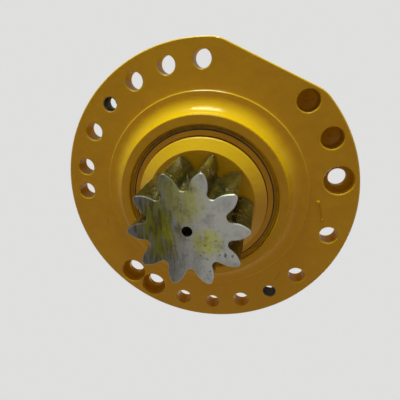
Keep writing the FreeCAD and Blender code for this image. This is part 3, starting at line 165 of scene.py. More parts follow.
class Finish:
    """One material's node tree, built with short calls."""

    def __init__(self, name):
        self.material = bpy.data.materials.new(name)
        self.material.use_nodes = True
        self.tree = self.material.node_tree
        self.tree.nodes.clear()
        output = self.add("ShaderNodeOutputMaterial")
        self.shader = self.add("ShaderNodeBsdfPrincipled")
        self.tree.links.new(self.shader.outputs[0], output.inputs["Surface"])
        self.place = self.add("ShaderNodeTexCoord").outputs["Object"]
        split = self.add("ShaderNodeSeparateXYZ")
        self.tree.links.new(self.place, split.inputs[0])
        self.x, self.y, self.z = split.outputs[0], split.outputs[1], split.outputs[2]
        self.radius = self.distance(0.0, 0.0)

    def add(self, kind, **settings):
        node = self.tree.nodes.new(kind)
        for key, value in settings.items():
            setattr(node, key, value)
        return node

    def feed(self, socket, value):
        if isinstance(value, bpy.types.NodeSocket):
            self.tree.links.new(value, socket)
        elif hasattr(value, "__len__") and socket.type == "RGBA":
            socket.default_value = (*tuple(value)[:3], 1.0)
        else:
            socket.default_value = value

    def math(self, operation, *values):
        node = self.add("ShaderNodeMath", operation=operation)
        for socket, value in zip(node.inputs, values):
            self.feed(socket, value)
        return node.outputs[0]

    def distance(self, x, y, squash=1.0):
        """Distance from an upright line through (x, y), less along Y where squash is below 1."""
        east = self.math("SUBTRACT", self.x, x)
        north = self.math("MULTIPLY", self.math("SUBTRACT", self.y, y), squash)
        squares = self.math("ADD", self.math("MULTIPLY", east, east), self.math("MULTIPLY", north, north))
        return self.math("SQRT", squares)

    def span(self, value, low, high):
        """0 at low, 1 at high, eased between them."""
        node = self.add("ShaderNodeMapRange", interpolation_type="SMOOTHSTEP")
        for socket, number in zip(node.inputs, (value, low, high, 0.0, 1.0)):
            self.feed(socket, number)
        return node.outputs[0]

    def both(self, a, b):
        return self.math("MULTIPLY", a, b)

    def either(self, a, b):
        return self.math("MAXIMUM", a, b)

    def without(self, a):
        return self.math("SUBTRACT", 1.0, a)

    def blend(self, share, first, second):
        node = self.add("ShaderNodeMix", data_type="RGBA")
        self.feed(node.inputs[0], share)
        self.feed(node.inputs[6], first)
        self.feed(node.inputs[7], second)
        return node.outputs[2]

    def tinted(self, share, first, tint):
        node = self.add("ShaderNodeMix", data_type="RGBA", blend_type="MULTIPLY")
        self.feed(node.inputs[0], share)
        self.feed(node.inputs[6], first)
        self.feed(node.inputs[7], tint)
        return node.outputs[2]

    def between(self, share, first, second):
        node = self.add("ShaderNodeMix", data_type="FLOAT")
        for index, value in ((0, share), (2, first), (3, second)):
            self.feed(node.inputs[index], value)
        return node.outputs[0]

    def stretched(self, stretch):
        node = self.add("ShaderNodeMapping")
        self.tree.links.new(self.place, node.inputs["Vector"])
        node.inputs["Scale"].default_value = stretch
        return node.outputs[0]

    def noise(self, size, detail=2.0, roughness=0.5, stretch=None, warp=0.0):
        """Clouds whose features are about size across, in metres."""
        node = self.add("ShaderNodeTexNoise")
        self.feed(node.inputs["Vector"], self.stretched(stretch) if stretch else self.place)
        self.feed(node.inputs["Scale"], 1.0 / size)
        self.feed(node.inputs["Detail"], detail)
        self.feed(node.inputs["Roughness"], roughness)
        self.feed(node.inputs["Distortion"], warp)
        return node.outputs[0]

    def cells(self, size, feature="F1"):
        node = self.add("ShaderNodeTexVoronoi", feature=feature)
        self.feed(node.inputs["Vector"], self.place)
        self.feed(node.inputs["Scale"], 1.0 / size)
        return node.outputs["Distance"]

    def rings(self, value, pitch):
        """Fine grooves at a steady pitch."""
        turned = self.math("MULTIPLY", value, 2.0 * math.pi / pitch)
        return self.math("SINE", turned)

    def soft_edges(self, radius):
        node = self.add("ShaderNodeBevel", samples=4)
        node.inputs["Radius"].default_value = radius
        return node.outputs[0]

    def edge_share(self, radius):
        """1 along the edges of the shape, 0 on its flats."""
        soft = self.soft_edges(radius)
        true = self.add("ShaderNodeNewGeometry").outputs["Normal"]
        dot = self.add("ShaderNodeVectorMath", operation="DOT_PRODUCT")
        self.feed(dot.inputs[0], soft)
        self.feed(dot.inputs[1], true)
        return self.span(dot.outputs["Value"], 0.995, 0.90)

    def corners(self, reach):
        """1 deep in corners, 0 in the open; the occlusion that paints shade into corners."""
        node = self.add("ShaderNodeAmbientOcclusion", samples=5)
        node.inputs["Distance"].default_value = reach
        return self.without(node.outputs["AO"])

    def bump(self, height, depth, normal=None, strength=1.0):
        node = self.add("ShaderNodeBump")
        self.feed(node.inputs["Height"], height)
        self.feed(node.inputs["Distance"], depth)
        self.feed(node.inputs["Strength"], strength)
        if normal is not None:
            self.feed(node.inputs["Normal"], normal)
        return node.outputs[0]

    def surface(self, **values):
        for key, value in values.items():
            self.feed(self.shader.inputs[key.replace("_", " ")], value)
        return self.material


def settings():
    return bpy.context.scene.gearbox


def dress(material, *names):
    """Gives CAD nodes their finish."""
    for name in names:
        node = NODES[name]
        if not node.material_slots:
            node.data.materials.append(material)
        for slot in node.material_slots:
            slot.material = material


def numbered(*patterns, count):
    return [pattern % number for pattern in patterns for number in range(1, count + 1)]


def new_piece(name, mesh, material, body):
    piece = bpy.data.objects.new(name, mesh)
    bpy.context.scene.collection.objects.link(piece)
    if material is not None and not mesh.materials:
        mesh.materials.append(material)
    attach(piece, body)
    return piece


def on_circle(radius, degrees, height):
    angle = math.radians(degrees)
    return Vector((radius * math.cos(angle), radius * math.sin(angle), height))


# Paint

def gloss_paint(name, look, bare, cast, thin_share=0.35, dirt_and_shade=0.75, worn=0.9, stain=None):
    """Gloss paint over machined and cast iron. bare, cast and stain are calls that say where each one is; stain says
    where a near-black line of painted shadow goes.
    """
    finish = Finish(name)
    cloud = finish.span(finish.noise(0.09, 3.0, 0.6), 0.35, 0.68)
    mist = finish.span(finish.noise(0.012, 4.0, 0.65), 0.30, 0.75)
    thin = finish.math("MULTIPLY", finish.math("ADD", cloud, mist), 0.5 * thin_share)
    paint = finish.blend(thin, look.colour, look.thin_colour)
    wall = finish.both(finish.span(finish.z, 0.0015, 0.0024), finish.span(finish.z, 0.0265, 0.0256))
    wall = finish.both(wall, finish.both(finish.span(finish.radius, 0.165, 0.167), finish.span(finish.radius, 0.2235, 0.2225)))
    flat = finish.math("SUBTRACT", finish.math("MULTIPLY", finish.x, 0.4848), finish.math("MULTIPLY", finish.y, 0.8746))
    wall = finish.both(wall, finish.span(flat, 0.2098, 0.2090))
    # The hole walls take a darker colour: a thin dry coat, and painted shade inside the holes
    paint = finish.blend(finish.both(wall, 0.40), paint, look.wall_coat_and_shade_colour)
    # Paler paint along the edges, where the coat draws thin and as a painted highlight; worn sets how much
    paint = finish.blend(finish.both(finish.edge_share(0.0014), worn), paint, look.thin_edge_and_highlight_colour)
    # Dirt and painted shade: the occlusion darkens corners towards the dark colour, in patches
    corner_shade = finish.span(finish.corners(0.007), 0.40, 0.98)
    smear = finish.span(finish.noise(0.02, 5.0, 0.7), 0.25, 0.7)
    paint = finish.blend(finish.both(finish.both(corner_shade, smear), dirt_and_shade), paint, look.dirt_and_shade_colour)
    # stain lays a near-black line: on the sleeve, a painted shadow in the gap at its inner edge
    if stain:
        paint = finish.blend(stain(finish), paint, (0.012, 0.009, 0.004))
    bare_share = bare(finish)
    iron = finish.blend(finish.noise(0.004, 5.0, 0.7), look.iron_colour, (0.10, 0.085, 0.06))
    colour = finish.blend(bare_share, paint, iron)
    cast_share = cast(finish)
    soft = finish.soft_edges(0.0020)
    grain = finish.bump(
        finish.both(cast_share, finish.noise(look.cast_size, 3.0, 0.55)), look.cast_depth, soft
    )
    turned = finish.both(finish.rings(finish.radius, 0.0011), finish.without(cast_share))
    lines = finish.bump(turned, 0.00002, grain)
    peel = finish.bump(finish.noise(look.peel_size, 1.0, 0.4), look.peel_depth, lines)
    waves = finish.bump(finish.noise(0.028, 1.0, 0.4), 0.0010, peel)
    gloss = finish.between(mist, look.roughness * 0.8, look.roughness * 1.35)
    gloss = finish.between(wall, gloss, 0.55)
    return finish.surface(
        Base_Color=colour,
        Metallic=bare_share,
        Roughness=finish.between(bare_share, gloss, 0.42),
        Specular_IOR_Level=0.20,
        Coat_Weight=0.10,
        Coat_Roughness=0.04,
        Normal=waves,
    )


def nowhere(finish):
    return finish.span(finish.z, 9.0, 10.0)


class GEARBOX_OT_paint_housing(bpy.types.Operator):
    """Sprays the lower housing, ring gear and top cover, and leaves their insides bare"""
    bl_idname = "gearbox.paint_housing"
    bl_label = "Paint the housing"

    def execute(self, context):
        look = settings().paint

        def inside_housing(finish):
            seats = finish.both(finish.span(finish.radius, 0.1128, 0.1122), finish.span(finish.z, -0.004, -0.003))
            head = finish.both(finish.span(finish.radius, 0.1415, 0.1405), finish.span(finish.z, 0.131, 0.133))
            holes = None
            for degrees in (-133.0, 60.0):
                spot = on_circle(BOLT_CIRCLE, degrees, 0.0)
                hole = finish.span(finish.distance(spot.x, spot.y), 0.0117, 0.0110)
                holes = hole if holes is None else finish.either(holes, hole)
            holes = finish.both(holes, finish.span(finish.z, 0.0008, 0.0016))
            holes = finish.both(holes, finish.span(finish.z, 0.0272, 0.0265))
            return finish.either(finish.either(seats, head), holes)

        def cast_housing(finish):
            above = finish.span(finish.z, 0.0285, 0.031)
            below = finish.span(finish.z, 0.158, 0.154)
            return finish.both(finish.both(above, below), finish.span(finish.radius, 0.113, 0.114))

        def inside_ring(finish):
            return finish.span(finish.radius, 0.1420, 0.1410)

        def cast_ring(finish):
            return finish.span(finish.radius, 0.1490, 0.1505)

        def inside_cover(finish):
            under = finish.both(finish.span(finish.radius, 0.1310, 0.1300), finish.span(finish.z, 0.3505, 0.3495))
            recess = finish.both(finish.span(finish.radius, 0.0806, 0.0802), finish.span(finish.z, 0.3662, 0.3652))
            return finish.either(under, recess)

        def cast_cover(finish):
            return finish.both(finish.span(finish.radius, 0.1515, 0.1525), finish.span(finish.z, 0.365, 0.3645))

        dress(gloss_paint("gearbox paint, lower housing", look, inside_housing, cast_housing), "lower_housing")
        dress(gloss_paint("gearbox paint, ring gear", look, inside_ring, cast_ring), "ring_gear")
        dress(gloss_paint("gearbox paint, top cover", look, inside_cover, cast_cover), "top_cover")
        return {"FINISHED"}


class GEARBOX_OT_paint_sleeve(bpy.types.Operator):
    """Sprays the seal sleeve, darker than the housing as painted shade and with a painted shadow line at its inner edge
    """
    bl_idname = "gearbox.paint_sleeve"
    bl_label = "Paint the seal sleeve"

    def execute(self, context):
        look = settings().paint

        def under_seal(finish):
            return finish.span(finish.z, -0.0195, -0.0185)

        # The inner edge gets a near-black line, a painted shadow of the gap beside it
        def inner_edge_shadow(finish):
            return finish.span(finish.radius, 0.0968, 0.0960)

        # More thin colour and more corner darkening make the sleeve darker than the housing: painted shade as well as
        # dirt
        material = gloss_paint("gearbox paint, sleeve", look, under_seal, nowhere, 0.8, 0.9, stain=inner_edge_shadow)
        dress(material, "seal_sleeve")
        return {"FINISHED"}


class GEARBOX_OT_add_paint_runs(bpy.types.Operator):
    """Lets the paint run on the flange face: a blister with its run, and soft sags"""
    bl_idname = "gearbox.add_paint_runs"
    bl_label = "Add paint runs"

    def execute(self, context):
        look = settings().paint
        mesh = bpy.data.meshes.new("paint_runs")
        shape = bmesh.new()
        down = Vector((0.0, 0.0, -1.0))
        add_run(shape, Vector((0.1690, 0.0128, 0.0)), Vector((0.1768, 0.0430, 0.0)), down, 0.0016, 0.00055, 2.6)
        add_blister(shape, Vector((0.1686, 0.0128, 0.0)), down, 0.0036, 0.0014)
        add_run(shape, Vector((0.1150, 0.1335, 0.0)), Vector((0.1090, 0.1490, 0.0)), down, 0.0013, 0.00035, 2.2)
        add_run(shape, Vector((-0.1700, 0.0360, 0.0)), Vector((-0.1690, 0.0505, 0.0)), down, 0.0012, 0.0003, 2.0)
        bmesh.ops.recalc_face_normals(shape, faces=shape.faces)
        shape.to_mesh(mesh)
        shape.free()
        for face in mesh.polygons:
            face.use_smooth = True
        material = gloss_paint("gearbox paint, runs", look, nowhere, nowhere, 0.4, 1.0, 0.0)
        new_piece("paint_runs", mesh, material, "housing")
        return {"FINISHED"}


def add_run(shape, start, end, outward, half_width, height, bead):
    """A run of paint from start to end, with a bead at its end."""
    along = (end - start).normalized()
    across = outward.cross(along).normalized()
    rows = []
    steps, sides = 30, 12
    for step in range(steps + 1):
        t = step / steps
        end_bead = math.exp(-((t - 0.93) / 0.055) ** 2)
        taper = math.sqrt(max(0.0, 1.0 - max(0.0, (t - 0.93) / 0.07) ** 2))
        width = half_width * (0.35 + 0.45 * t + (bead - 1.0) * 0.55 * end_bead) * taper
        rise = height * (0.45 + 0.30 * t + (bead - 1.0) * 0.60 * end_bead) * taper
        centre = start.lerp(end, t) + across * half_width * 0.5 * math.sin(5.0 * t)
        row = []
        for side in range(sides):
            angle = 2.0 * math.pi * side / sides
            level = rise * math.sin(angle) if math.sin(angle) > 0.0 else 0.0003 * math.sin(angle)
            row.append(shape.verts.new(centre + across * width * math.cos(angle) + outward * level))
        rows.append(row)
    close_rows(shape, rows)


def add_blister(shape, centre, outward, radius, height):
    """A low round drop."""
    side = Vector((1.0, 0.0, 0.0))
    other = outward.cross(side)
    rows = []
    for step in range(1, 9):
        t = step / 9.0
        ring = radius * math.cos(0.5 * math.pi * (1.0 - t)) if t < 0.999 else radius
        level = height * (1.0 - t * t)
        if step == 8:
            ring, level = radius, -0.0003
        rows.append([
            shape.verts.new(
                centre + side * ring * math.cos(2.0 * math.pi * n / 20) +
                other * ring * math.sin(2.0 * math.pi * n / 20) + outward * level
            )
            for n in range(20)
        ])
    close_rows(shape, rows)


def close_rows(shape, rows):
    """Skins neighbouring rings of points and closes both ends."""
    for first, second in zip(rows, rows[1:]):
        for index in range(len(first)):
            after = (index + 1) % len(first)
            shape.faces.new((first[index], first[after], second[after], second[index]))
    shape.faces.new(rows[0][::-1])
    shape.faces.new(rows[-1])


# Output pinion and shaft

class GEARBOX_OT_finish_pinion(bpy.types.Operator):
    """Finishes the pinion shaft: painted shoulder, oiled teeth, worn end face and ground seats"""
    bl_idname = "gearbox.finish_pinion"
    bl_label = "Finish the pinion shaft"

    def execute(self, context):
        look, paint = settings().pinion, settings().paint
        finish = Finish("pinion shaft steel")
        fine = finish.noise(0.0016, 5.0, 0.7)
        clouds = finish.noise(0.020, 4.0, 0.65)
        blotch = finish.noise(0.007, 5.0, 0.72, warp=0.6)

        # Worn end face
        face = finish.span(finish.z, PINION_FACE + 0.0022, PINION_FACE + 0.0010)
        scrape = finish.noise(0.0085, 3.0, 0.55, stretch=(1.5, 0.28, 1.0), warp=0.3)
        worn = finish.blend(finish.span(fine, 0.35, 0.72), look.steel, (0.38, 0.37, 0.35))
        worn = finish.blend(finish.span(clouds, 0.42, 0.72), worn, (0.26, 0.25, 0.23))
        # The end face is made darker towards -X, up to 95 percent towards a dark grey
        leftward = finish.math("ADD", finish.x, finish.both(finish.math("SUBTRACT", clouds, 0.5), 0.10))
        dull = finish.span(leftward, 0.028, -0.036)
        worn = finish.blend(finish.both(dull, 0.95), worn, (0.105, 0.100, 0.088))
        pit_field = finish.span(finish.distance(0.034, 0.036), 0.046, 0.014)
        pits = finish.span(finish.noise(0.0048, 2.0, 0.5), 0.605, 0.66)
        pits = finish.both(pits, finish.either(pit_field, 0.12))
        worn = finish.blend(finish.both(pits, 0.75), worn, look.dark_steel)

        streaks = finish.span(finish.noise(0.0065, 3.0, 0.6, stretch=(1.9, 0.30, 1.0)), 0.46, 0.66)
        worn = finish.tinted(finish.both(streaks, dull), worn, (0.58, 0.50, 0.42))

        # Overspray on the end face, a clear film in upright strokes and thickest at the left
        left = finish.span(finish.distance(-0.036, -0.002, 0.55), 0.034, 0.012)
        lower = finish.span(finish.distance(0.024, 0.014), 0.026, 0.008)
        upper = finish.span(finish.distance(-0.012, -0.040), 0.046, 0.020)
        place = finish.either(finish.either(left, finish.both(lower, 0.78)), finish.both(upper, 0.66))
        strokes = finish.math("ADD", scrape, finish.both(finish.math("SUBTRACT", blotch, 0.5), 0.4))
        film = finish.both(place, finish.span(strokes, 0.33, 0.47))
        end_face = finish.tinted(finish.both(film, 0.97), worn, look.film)

        # Oiled teeth with smears of paint
        smear = finish.span(finish.noise(0.011, 5.0, 0.7, stretch=(1.0, 1.0, 0.30)), 0.50, 0.70)
        flank = finish.blend(finish.both(smear, 0.50), look.oil, (0.16, 0.130, 0.006))
        flank = finish.blend(finish.span(blotch, 0.50, 0.62), flank, (0.012, 0.011, 0.006))
        drops = finish.both(finish.span(finish.noise(0.0085, 1.0, 0.5), 0.60, 0.70), finish.without(face))
        flank = finish.blend(drops, flank, (0.25, 0.235, 0.15))
        teeth = finish.blend(face, flank, end_face)

        # Painted shoulder
        cloud = finish.span(finish.noise(0.09, 3.0, 0.6), 0.35, 0.68)
        coat = finish.blend(finish.both(cloud, 0.4), paint.colour, paint.thin_colour)
        # Painted shade: the occlusion darkens the shoulder's corners nearly to the dark colour
        corner_shade = finish.span(finish.corners(0.010), 0.30, 0.95)
        coat = finish.blend(finish.both(corner_shade, 0.85), coat, paint.dirt_and_shade_colour)
        shoulder = finish.span(finish.z, -0.0435, -0.0405)
        low = finish.blend(shoulder, teeth, coat)

        # Ground seats inside the housing
        seats = finish.span(finish.z, -0.0215, -0.0205)
        tint = finish.blend(finish.span(clouds, 0.4, 0.7), look.journal, (0.40, 0.385, 0.35))
        colour = finish.blend(seats, low, tint)

        # Lighter steel along the edges of the teeth and end face: a painted highlight
        edge = finish.both(finish.edge_share(0.0009), finish.without(finish.either(shoulder, seats)))
        colour = finish.blend(finish.both(edge, 0.40), colour, (0.42, 0.41, 0.39))
        painted = finish.both(shoulder, finish.without(seats))
        metal = finish.both(finish.either(face, drops), finish.without(painted))
        metal = finish.between(seats, metal, 1.0)
        rough_face = finish.between(film, finish.between(fine, 0.36, 0.55), 0.34)
        rough = finish.between(face, finish.between(smear, 0.05, 0.15), rough_face)
        rough = finish.between(drops, rough, 0.05)
        rough = finish.between(painted, rough, paint.roughness)
        rough = finish.between(seats, rough, 0.22)
        soft = finish.soft_edges(0.0005)
        scratches = finish.bump(
            finish.noise(0.0009, 3.0, 0.6, stretch=(0.25, 1.5, 1.0)), 0.00010, soft, strength=0.6
        )
        dents = finish.bump(blotch, 0.0006, scratches)
        wet = finish.bump(finish.both(drops, finish.without(shoulder)), 0.0040, dents)
        pocked = finish.bump(finish.both(pits, face), -0.0004, wet)
        ground = finish.bump(finish.both(finish.rings(finish.z, 0.0006), seats), 0.00001, pocked)
        material = finish.surface(
            Base_Color=colour, Metallic=metal, Roughness=rough,
            Specular_IOR_Level=0.25,
            Coat_Weight=0.12, Coat_Roughness=0.05, Normal=ground,
        )
        dress(material, "pinion_shaft")
        return {"FINISHED"}


# Metals inside and on the housing

def machined(name, colour, stain, roughness, pitch, along, stain_share=0.5, oil=0.25, metal=1.0):
    """Turned or ground steel: fine grooves at a pitch, stains and an oil film."""
    finish = Finish(name)
    stains = finish.span(finish.noise(0.014, 4.0, 0.65), 0.38, 0.72)
    specks = finish.span(finish.noise(0.0018, 3.0, 0.6), 0.50, 0.80)
    tone = finish.blend(finish.both(stains, stain_share), colour, stain)
    tone = finish.blend(finish.both(specks, 0.25), tone, stain)
    edge = finish.edge_share(0.0007)
    tone = finish.blend(finish.both(edge, 0.45), tone, tuple(min(1.0, c * 1.5 + 0.05) for c in colour))
    groove = finish.rings(finish.radius if along == "radius" else finish.z, pitch)
    soft = finish.soft_edges(0.0006)
    lines = finish.bump(groove, 0.000012, soft)
    grain = finish.bump(finish.noise(0.0012, 2.0, 0.5), 0.00003, lines)
    return finish.surface(
        Base_Color=tone, Metallic=metal, Roughness=finish.between(stains, roughness, roughness * 1.5),
        Coat_Weight=oil, Coat_Roughness=0.12, Normal=grain,
    )


class GEARBOX_OT_finish_gears(bpy.types.Operator):
    """Finishes the planets and suns in case hardened steel with hobbing marks"""
    bl_idname = "gearbox.finish_gears"
    bl_label = "Finish the inner gears"

    def execute(self, context):
        colours = settings().metals
        gears = machined(
            "hobbed gear steel", colours.gear, (0.10, 0.085, 0.060), 0.28, 0.0016, "height", 0.6, 0.35
        )
        names = numbered("second_planet_%d", count=4) + numbered("first_planet_%d", count=3)
        dress(gears, *names, "second_stage_sun", "first_stage_sun")
        pins = machined("ground pin steel", colours.bearing, (0.30, 0.28, 0.24), 0.16, 0.0005, "height", 0.3)
        dress(
            pins, "second_planet_pins", "first_planet_pins", "dowel_pins", "shaft_end_plate",
            "sun_thrust_disc", "bearing_spacer",
        )
        return {"FINISHED"}


class GEARBOX_OT_finish_bearings(bpy.types.Operator):
    """Finishes the two taper roller bearings and their cages"""
    bl_idname = "gearbox.finish_bearings"
    bl_label = "Finish the bearings"

    def execute(self, context):
        colours = settings().metals
        races = machined(
            "ground bearing steel", colours.bearing, (0.42, 0.40, 0.36), 0.12, 0.0004, "height", 0.25
        )
        dress(
            races, "lower_bearing_cup", "lower_bearing_cone", "lower_bearing_rollers",
            "upper_bearing_cup", "upper_bearing_cone", "upper_bearing_rollers",
        )
        finish = Finish("pressed cage steel")
        dull = finish.span(finish.noise(0.009, 4.0, 0.65), 0.35, 0.7)
        tone = finish.blend(dull, colours.cage, (0.16, 0.12, 0.075))
        tone = finish.blend(finish.both(finish.edge_share(0.0006), 0.6), tone, (0.50, 0.48, 0.45))
        draw = finish.bump(finish.noise(0.0012, 3.0, 0.6, stretch=(1.0, 1.0, 0.2)), 0.00006, finish.soft_edges(0.0006))
        cage = finish.surface(
            Base_Color=tone, Metallic=1.0, Roughness=finish.between(dull, 0.30, 0.46), Normal=draw
        )
        dress(cage, "lower_bearing_cage", "upper_bearing_cage")
        return {"FINISHED"}


class GEARBOX_OT_finish_carriers(bpy.types.Operator):
    """Finishes the planet carriers in machined nodular iron"""
    bl_idname = "gearbox.finish_carriers"
    bl_label = "Finish the carriers"

    def execute(self, context):
        colours = settings().metals
        finish = Finish("nodular iron")
        clouds = finish.span(finish.noise(0.018, 4.0, 0.6), 0.35, 0.7)
        pores = finish.span(finish.cells(0.0022), 0.22, 0.10)
        tone = finish.blend(clouds, colours.iron, (0.19, 0.18, 0.165))
        tone = finish.blend(finish.both(pores, 0.7), tone, (0.035, 0.033, 0.030))
        tone = finish.blend(finish.both(finish.edge_share(0.0010), 0.5), tone, (0.36, 0.35, 0.33))
        turned = finish.bump(finish.rings(finish.radius, 0.0009), 0.000015, finish.soft_edges(0.0009))
        pocks = finish.bump(pores, -0.00015, turned)
        iron = finish.surface(
            Base_Color=tone, Metallic=0.9, Roughness=finish.between(clouds, 0.36, 0.52),
            Coat_Weight=0.2, Coat_Roughness=0.15, Normal=pocks,
        )
        dress(iron, "second_stage_carrier", "first_stage_carrier")
        return {"FINISHED"}


class GEARBOX_OT_finish_bronze(bpy.types.Operator):
    """Finishes the bushes and thrust washers in oiled bronze and the plug washers in copper"""
    bl_idname = "gearbox.finish_bronze"
    bl_label = "Finish bronze and copper"

    def execute(self, context):
        colours = settings().metals
        bronze = machined(
            "oiled bronze", colours.bronze, (0.24, 0.13, 0.05), 0.26, 0.0008, "radius", 0.6
        )
        names = numbered("second_planet_bush_%d", count=4) + numbered("first_planet_bush_%d", count=3)
        dress(bronze, *names, "second_thrust_washers", "first_thrust_washers")
        copper = machined("tarnished copper", colours.copper, (0.20, 0.09, 0.05), 0.34, 0.0007, "radius", 0.7, 0.0)
        dress(copper, "plug_washers")
        return {"FINISHED"}


class GEARBOX_OT_finish_fasteners(bpy.types.Operator):
    """Finishes bolts, screws, rings and the bearing nut in blacked steel, and the washers in zinc"""
    bl_idname = "gearbox.finish_fasteners"
    bl_label = "Finish the fasteners"

    def execute(self, context):
        colours = settings().metals
        dress(
            black_oxide(), "housing_bolts", "end_plate_screws", "bearing_nut", "lock_washer",
            "second_pin_rings", "first_pin_rings", "sun_retaining_ring",
        )
        dress(zinc_plate(), "housing_washers", "drain_plug", "fill_plug", "dipstick_nut", "dipstick_tube")
        brass = machined("dull brass", colours.brass, (0.22, 0.13, 0.045), 0.30, 0.0006, "height", 0.6, 0.1)
        dress(brass, "breather")
        stick = machined("dipstick steel", colours.zinc, (0.26, 0.22, 0.14), 0.30, 0.0007, "height", 0.4, 0.3)
        dress(stick, "dipstick")
        return {"FINISHED"}


def black_oxide():
    """Black oxide, rubbed brown and bright along the edges."""
    found = bpy.data.materials.get("black oxide")
    if found:
        return found
    look = settings().metals.black
    finish = Finish("black oxide")
    clouds = finish.span(finish.noise(0.010, 4.0, 0.65), 0.35, 0.7)
    tone = finish.blend(clouds, look, (0.050, 0.040, 0.032))
    rub = finish.both(finish.edge_share(0.0007), finish.span(finish.noise(0.003, 3.0, 0.6), 0.35, 0.65))
    tone = finish.blend(rub, tone, (0.26, 0.24, 0.22))
    grain = finish.bump(finish.noise(0.0010, 3.0, 0.6), 0.00004, finish.soft_edges(0.0006))
    return finish.surface(
        Base_Color=tone, Metallic=0.75, Roughness=finish.between(clouds, 0.34, 0.50),
        Coat_Weight=0.15, Coat_Roughness=0.2, Normal=grain,
    )


def zinc_plate():
    """Yellow passivated zinc with a faint play of colour."""
    found = bpy.data.materials.get("passivated zinc")
    if found:
        return found
    look = settings().metals.zinc
    finish = Finish("passivated zinc")
    play = finish.noise(0.006, 2.0, 0.5, warp=1.2)
    tone = finish.blend(finish.span(play, 0.35, 0.65), look, (0.60, 0.42, 0.22))
    tone = finish.blend(finish.span(play, 0.60, 0.75), tone, (0.42, 0.50, 0.36))
    dull = finish.span(finish.noise(0.004, 4.0, 0.65), 0.45, 0.75)
    tone = finish.blend(finish.both(dull, 0.5), tone, (0.30, 0.27, 0.20))
    grain = finish.bump(finish.noise(0.0012, 2.0, 0.5), 0.00004, finish.soft_edges(0.0006))
    return finish.surface(
        Base_Color=tone, Metallic=1.0, Roughness=finish.between(dull, 0.26, 0.42), Normal=grain
    )


class GEARBOX_OT_finish_rubber(bpy.types.Operator):
    """Finishes the shaft seal, dusted with paint and darker towards -Y as painted shade, and the O-rings"""
    bl_idname = "gearbox.finish_rubber"
    bl_label = "Finish the rubber"

    def execute(self, context):
        look = settings().rubber
        finish = Finish("seal rubber with overspray")
        mist = finish.span(finish.noise(0.008, 5.0, 0.7), 0.30, 0.62)
        lip = finish.span(finish.radius, 0.1053, 0.1059)
        edge = finish.span(finish.radius, 0.1128, 0.1125)
        # Less overspray towards -Y, so the seal is darker where the boss's lip shades it: painted shade
        far = finish.span(finish.y, -0.105, -0.035)
        dust_and_shade = finish.both(finish.both(lip, edge), finish.between(mist, finish.between(far, 0.32, 0.80), finish.between(far, 0.60, 1.0)))
        tone = finish.blend(dust_and_shade, look.seal, look.overspray)
        ridges = finish.bump(finish.rings(finish.radius, 0.0036), 0.0004)
        grain = finish.bump(finish.noise(0.0010, 3.0, 0.6), 0.00005, ridges)
        seal = finish.surface(
            Base_Color=tone, Roughness=finish.between(dust_and_shade, 0.36, 0.28), Coat_Weight=0.2,
            Coat_Roughness=0.2, Normal=grain,
        )
        dress(seal, "oil_seal")
        finish = Finish("o-ring rubber")
        bloom = finish.span(finish.noise(0.012, 4.0, 0.6), 0.45, 0.75)
        tone = finish.blend(finish.both(bloom, 0.35), look.black, (0.05, 0.05, 0.05))
        grain = finish.bump(finish.noise(0.0008, 3.0, 0.6), 0.00005)
        rubber = finish.surface(
            Base_Color=tone, Roughness=finish.between(bloom, 0.38, 0.55), Normal=grain
        )
        dress(rubber, "lower_o_ring", "upper_o_ring")
        return {"FINISHED"}


# Repeated things, each from a geometry nodes tree

class Maker:
    """A geometry nodes tree with named inputs, which ends in one material."""

    def __init__(self, name, sizes, counts=()):
        self.tree = bpy.data.node_groups.new(name, "GeometryNodeTree")
        sockets = self.tree.interface
        sockets.new_socket("Geometry", in_out="INPUT", socket_type="NodeSocketGeometry")
        for label in sizes:
            sockets.new_socket(label, in_out="INPUT", socket_type="NodeSocketFloat")
        for label in counts:
            sockets.new_socket(label, in_out="INPUT", socket_type="NodeSocketInt")
        sockets.new_socket("Material", in_out="INPUT", socket_type="NodeSocketMaterial")
        sockets.new_socket("Geometry", in_out="OUTPUT", socket_type="NodeSocketGeometry")
        self.given = self.add("NodeGroupInput").outputs

    def add(self, kind, **settings):
        node = self.tree.nodes.new(kind)
        for key, value in settings.items():
            setattr(node, key, value)
        return node

    def put(self, node, label, value):
        socket = node.inputs[label]
        if isinstance(value, bpy.types.NodeSocket):
            self.tree.links.new(value, socket)
        else:
            socket.default_value = value
        return node

    def math(self, operation, *values):
        node = self.add("ShaderNodeMath", operation=operation)
        for index, value in enumerate(values):
            self.put(node, index, value)
        return node.outputs[0]

    def point(self, x, y, z):
        node = self.add("ShaderNodeCombineXYZ")
        for index, value in enumerate((x, y, z)):
            self.put(node, index, value)
        return node.outputs[0]

    def end(self, geometry):
        realize = self.put(self.add("GeometryNodeRealizeInstances"), "Geometry", geometry)
        finish = self.put(self.add("GeometryNodeSetMaterial"), "Geometry", realize.outputs[0])
        self.put(finish, "Material", self.given["Material"])
        self.put(self.add("NodeGroupOutput"), "Geometry", finish.outputs[0])
        return self.tree


def made_mesh(tree, name, points, **values):
    """Runs a tree on loose points and returns the result as a plain mesh."""
    start = bpy.data.meshes.new(name + "_start")
    start.from_pydata([tuple(point) for point in points], [], [])
    holder = bpy.data.objects.new(name + "_start", start)
    bpy.context.scene.collection.objects.link(holder)
    modifier = holder.modifiers.new("make", "NODES")
    modifier.node_group = tree
    for item in tree.interface.items_tree:
        if item.in_out == "INPUT" and item.name in values:
            modifier[item.identifier] = values[item.name]
    graph = bpy.context.evaluated_depsgraph_get()
    mesh = bpy.data.meshes.new_from_object(holder.evaluated_get(graph), depsgraph=graph)
    holder.modifiers.clear()
    bpy.data.objects.remove(holder)
    if not mesh.polygons:
        raise RuntimeError("the tree for " + name + " made no faces")
    mesh.name = name
    return mesh


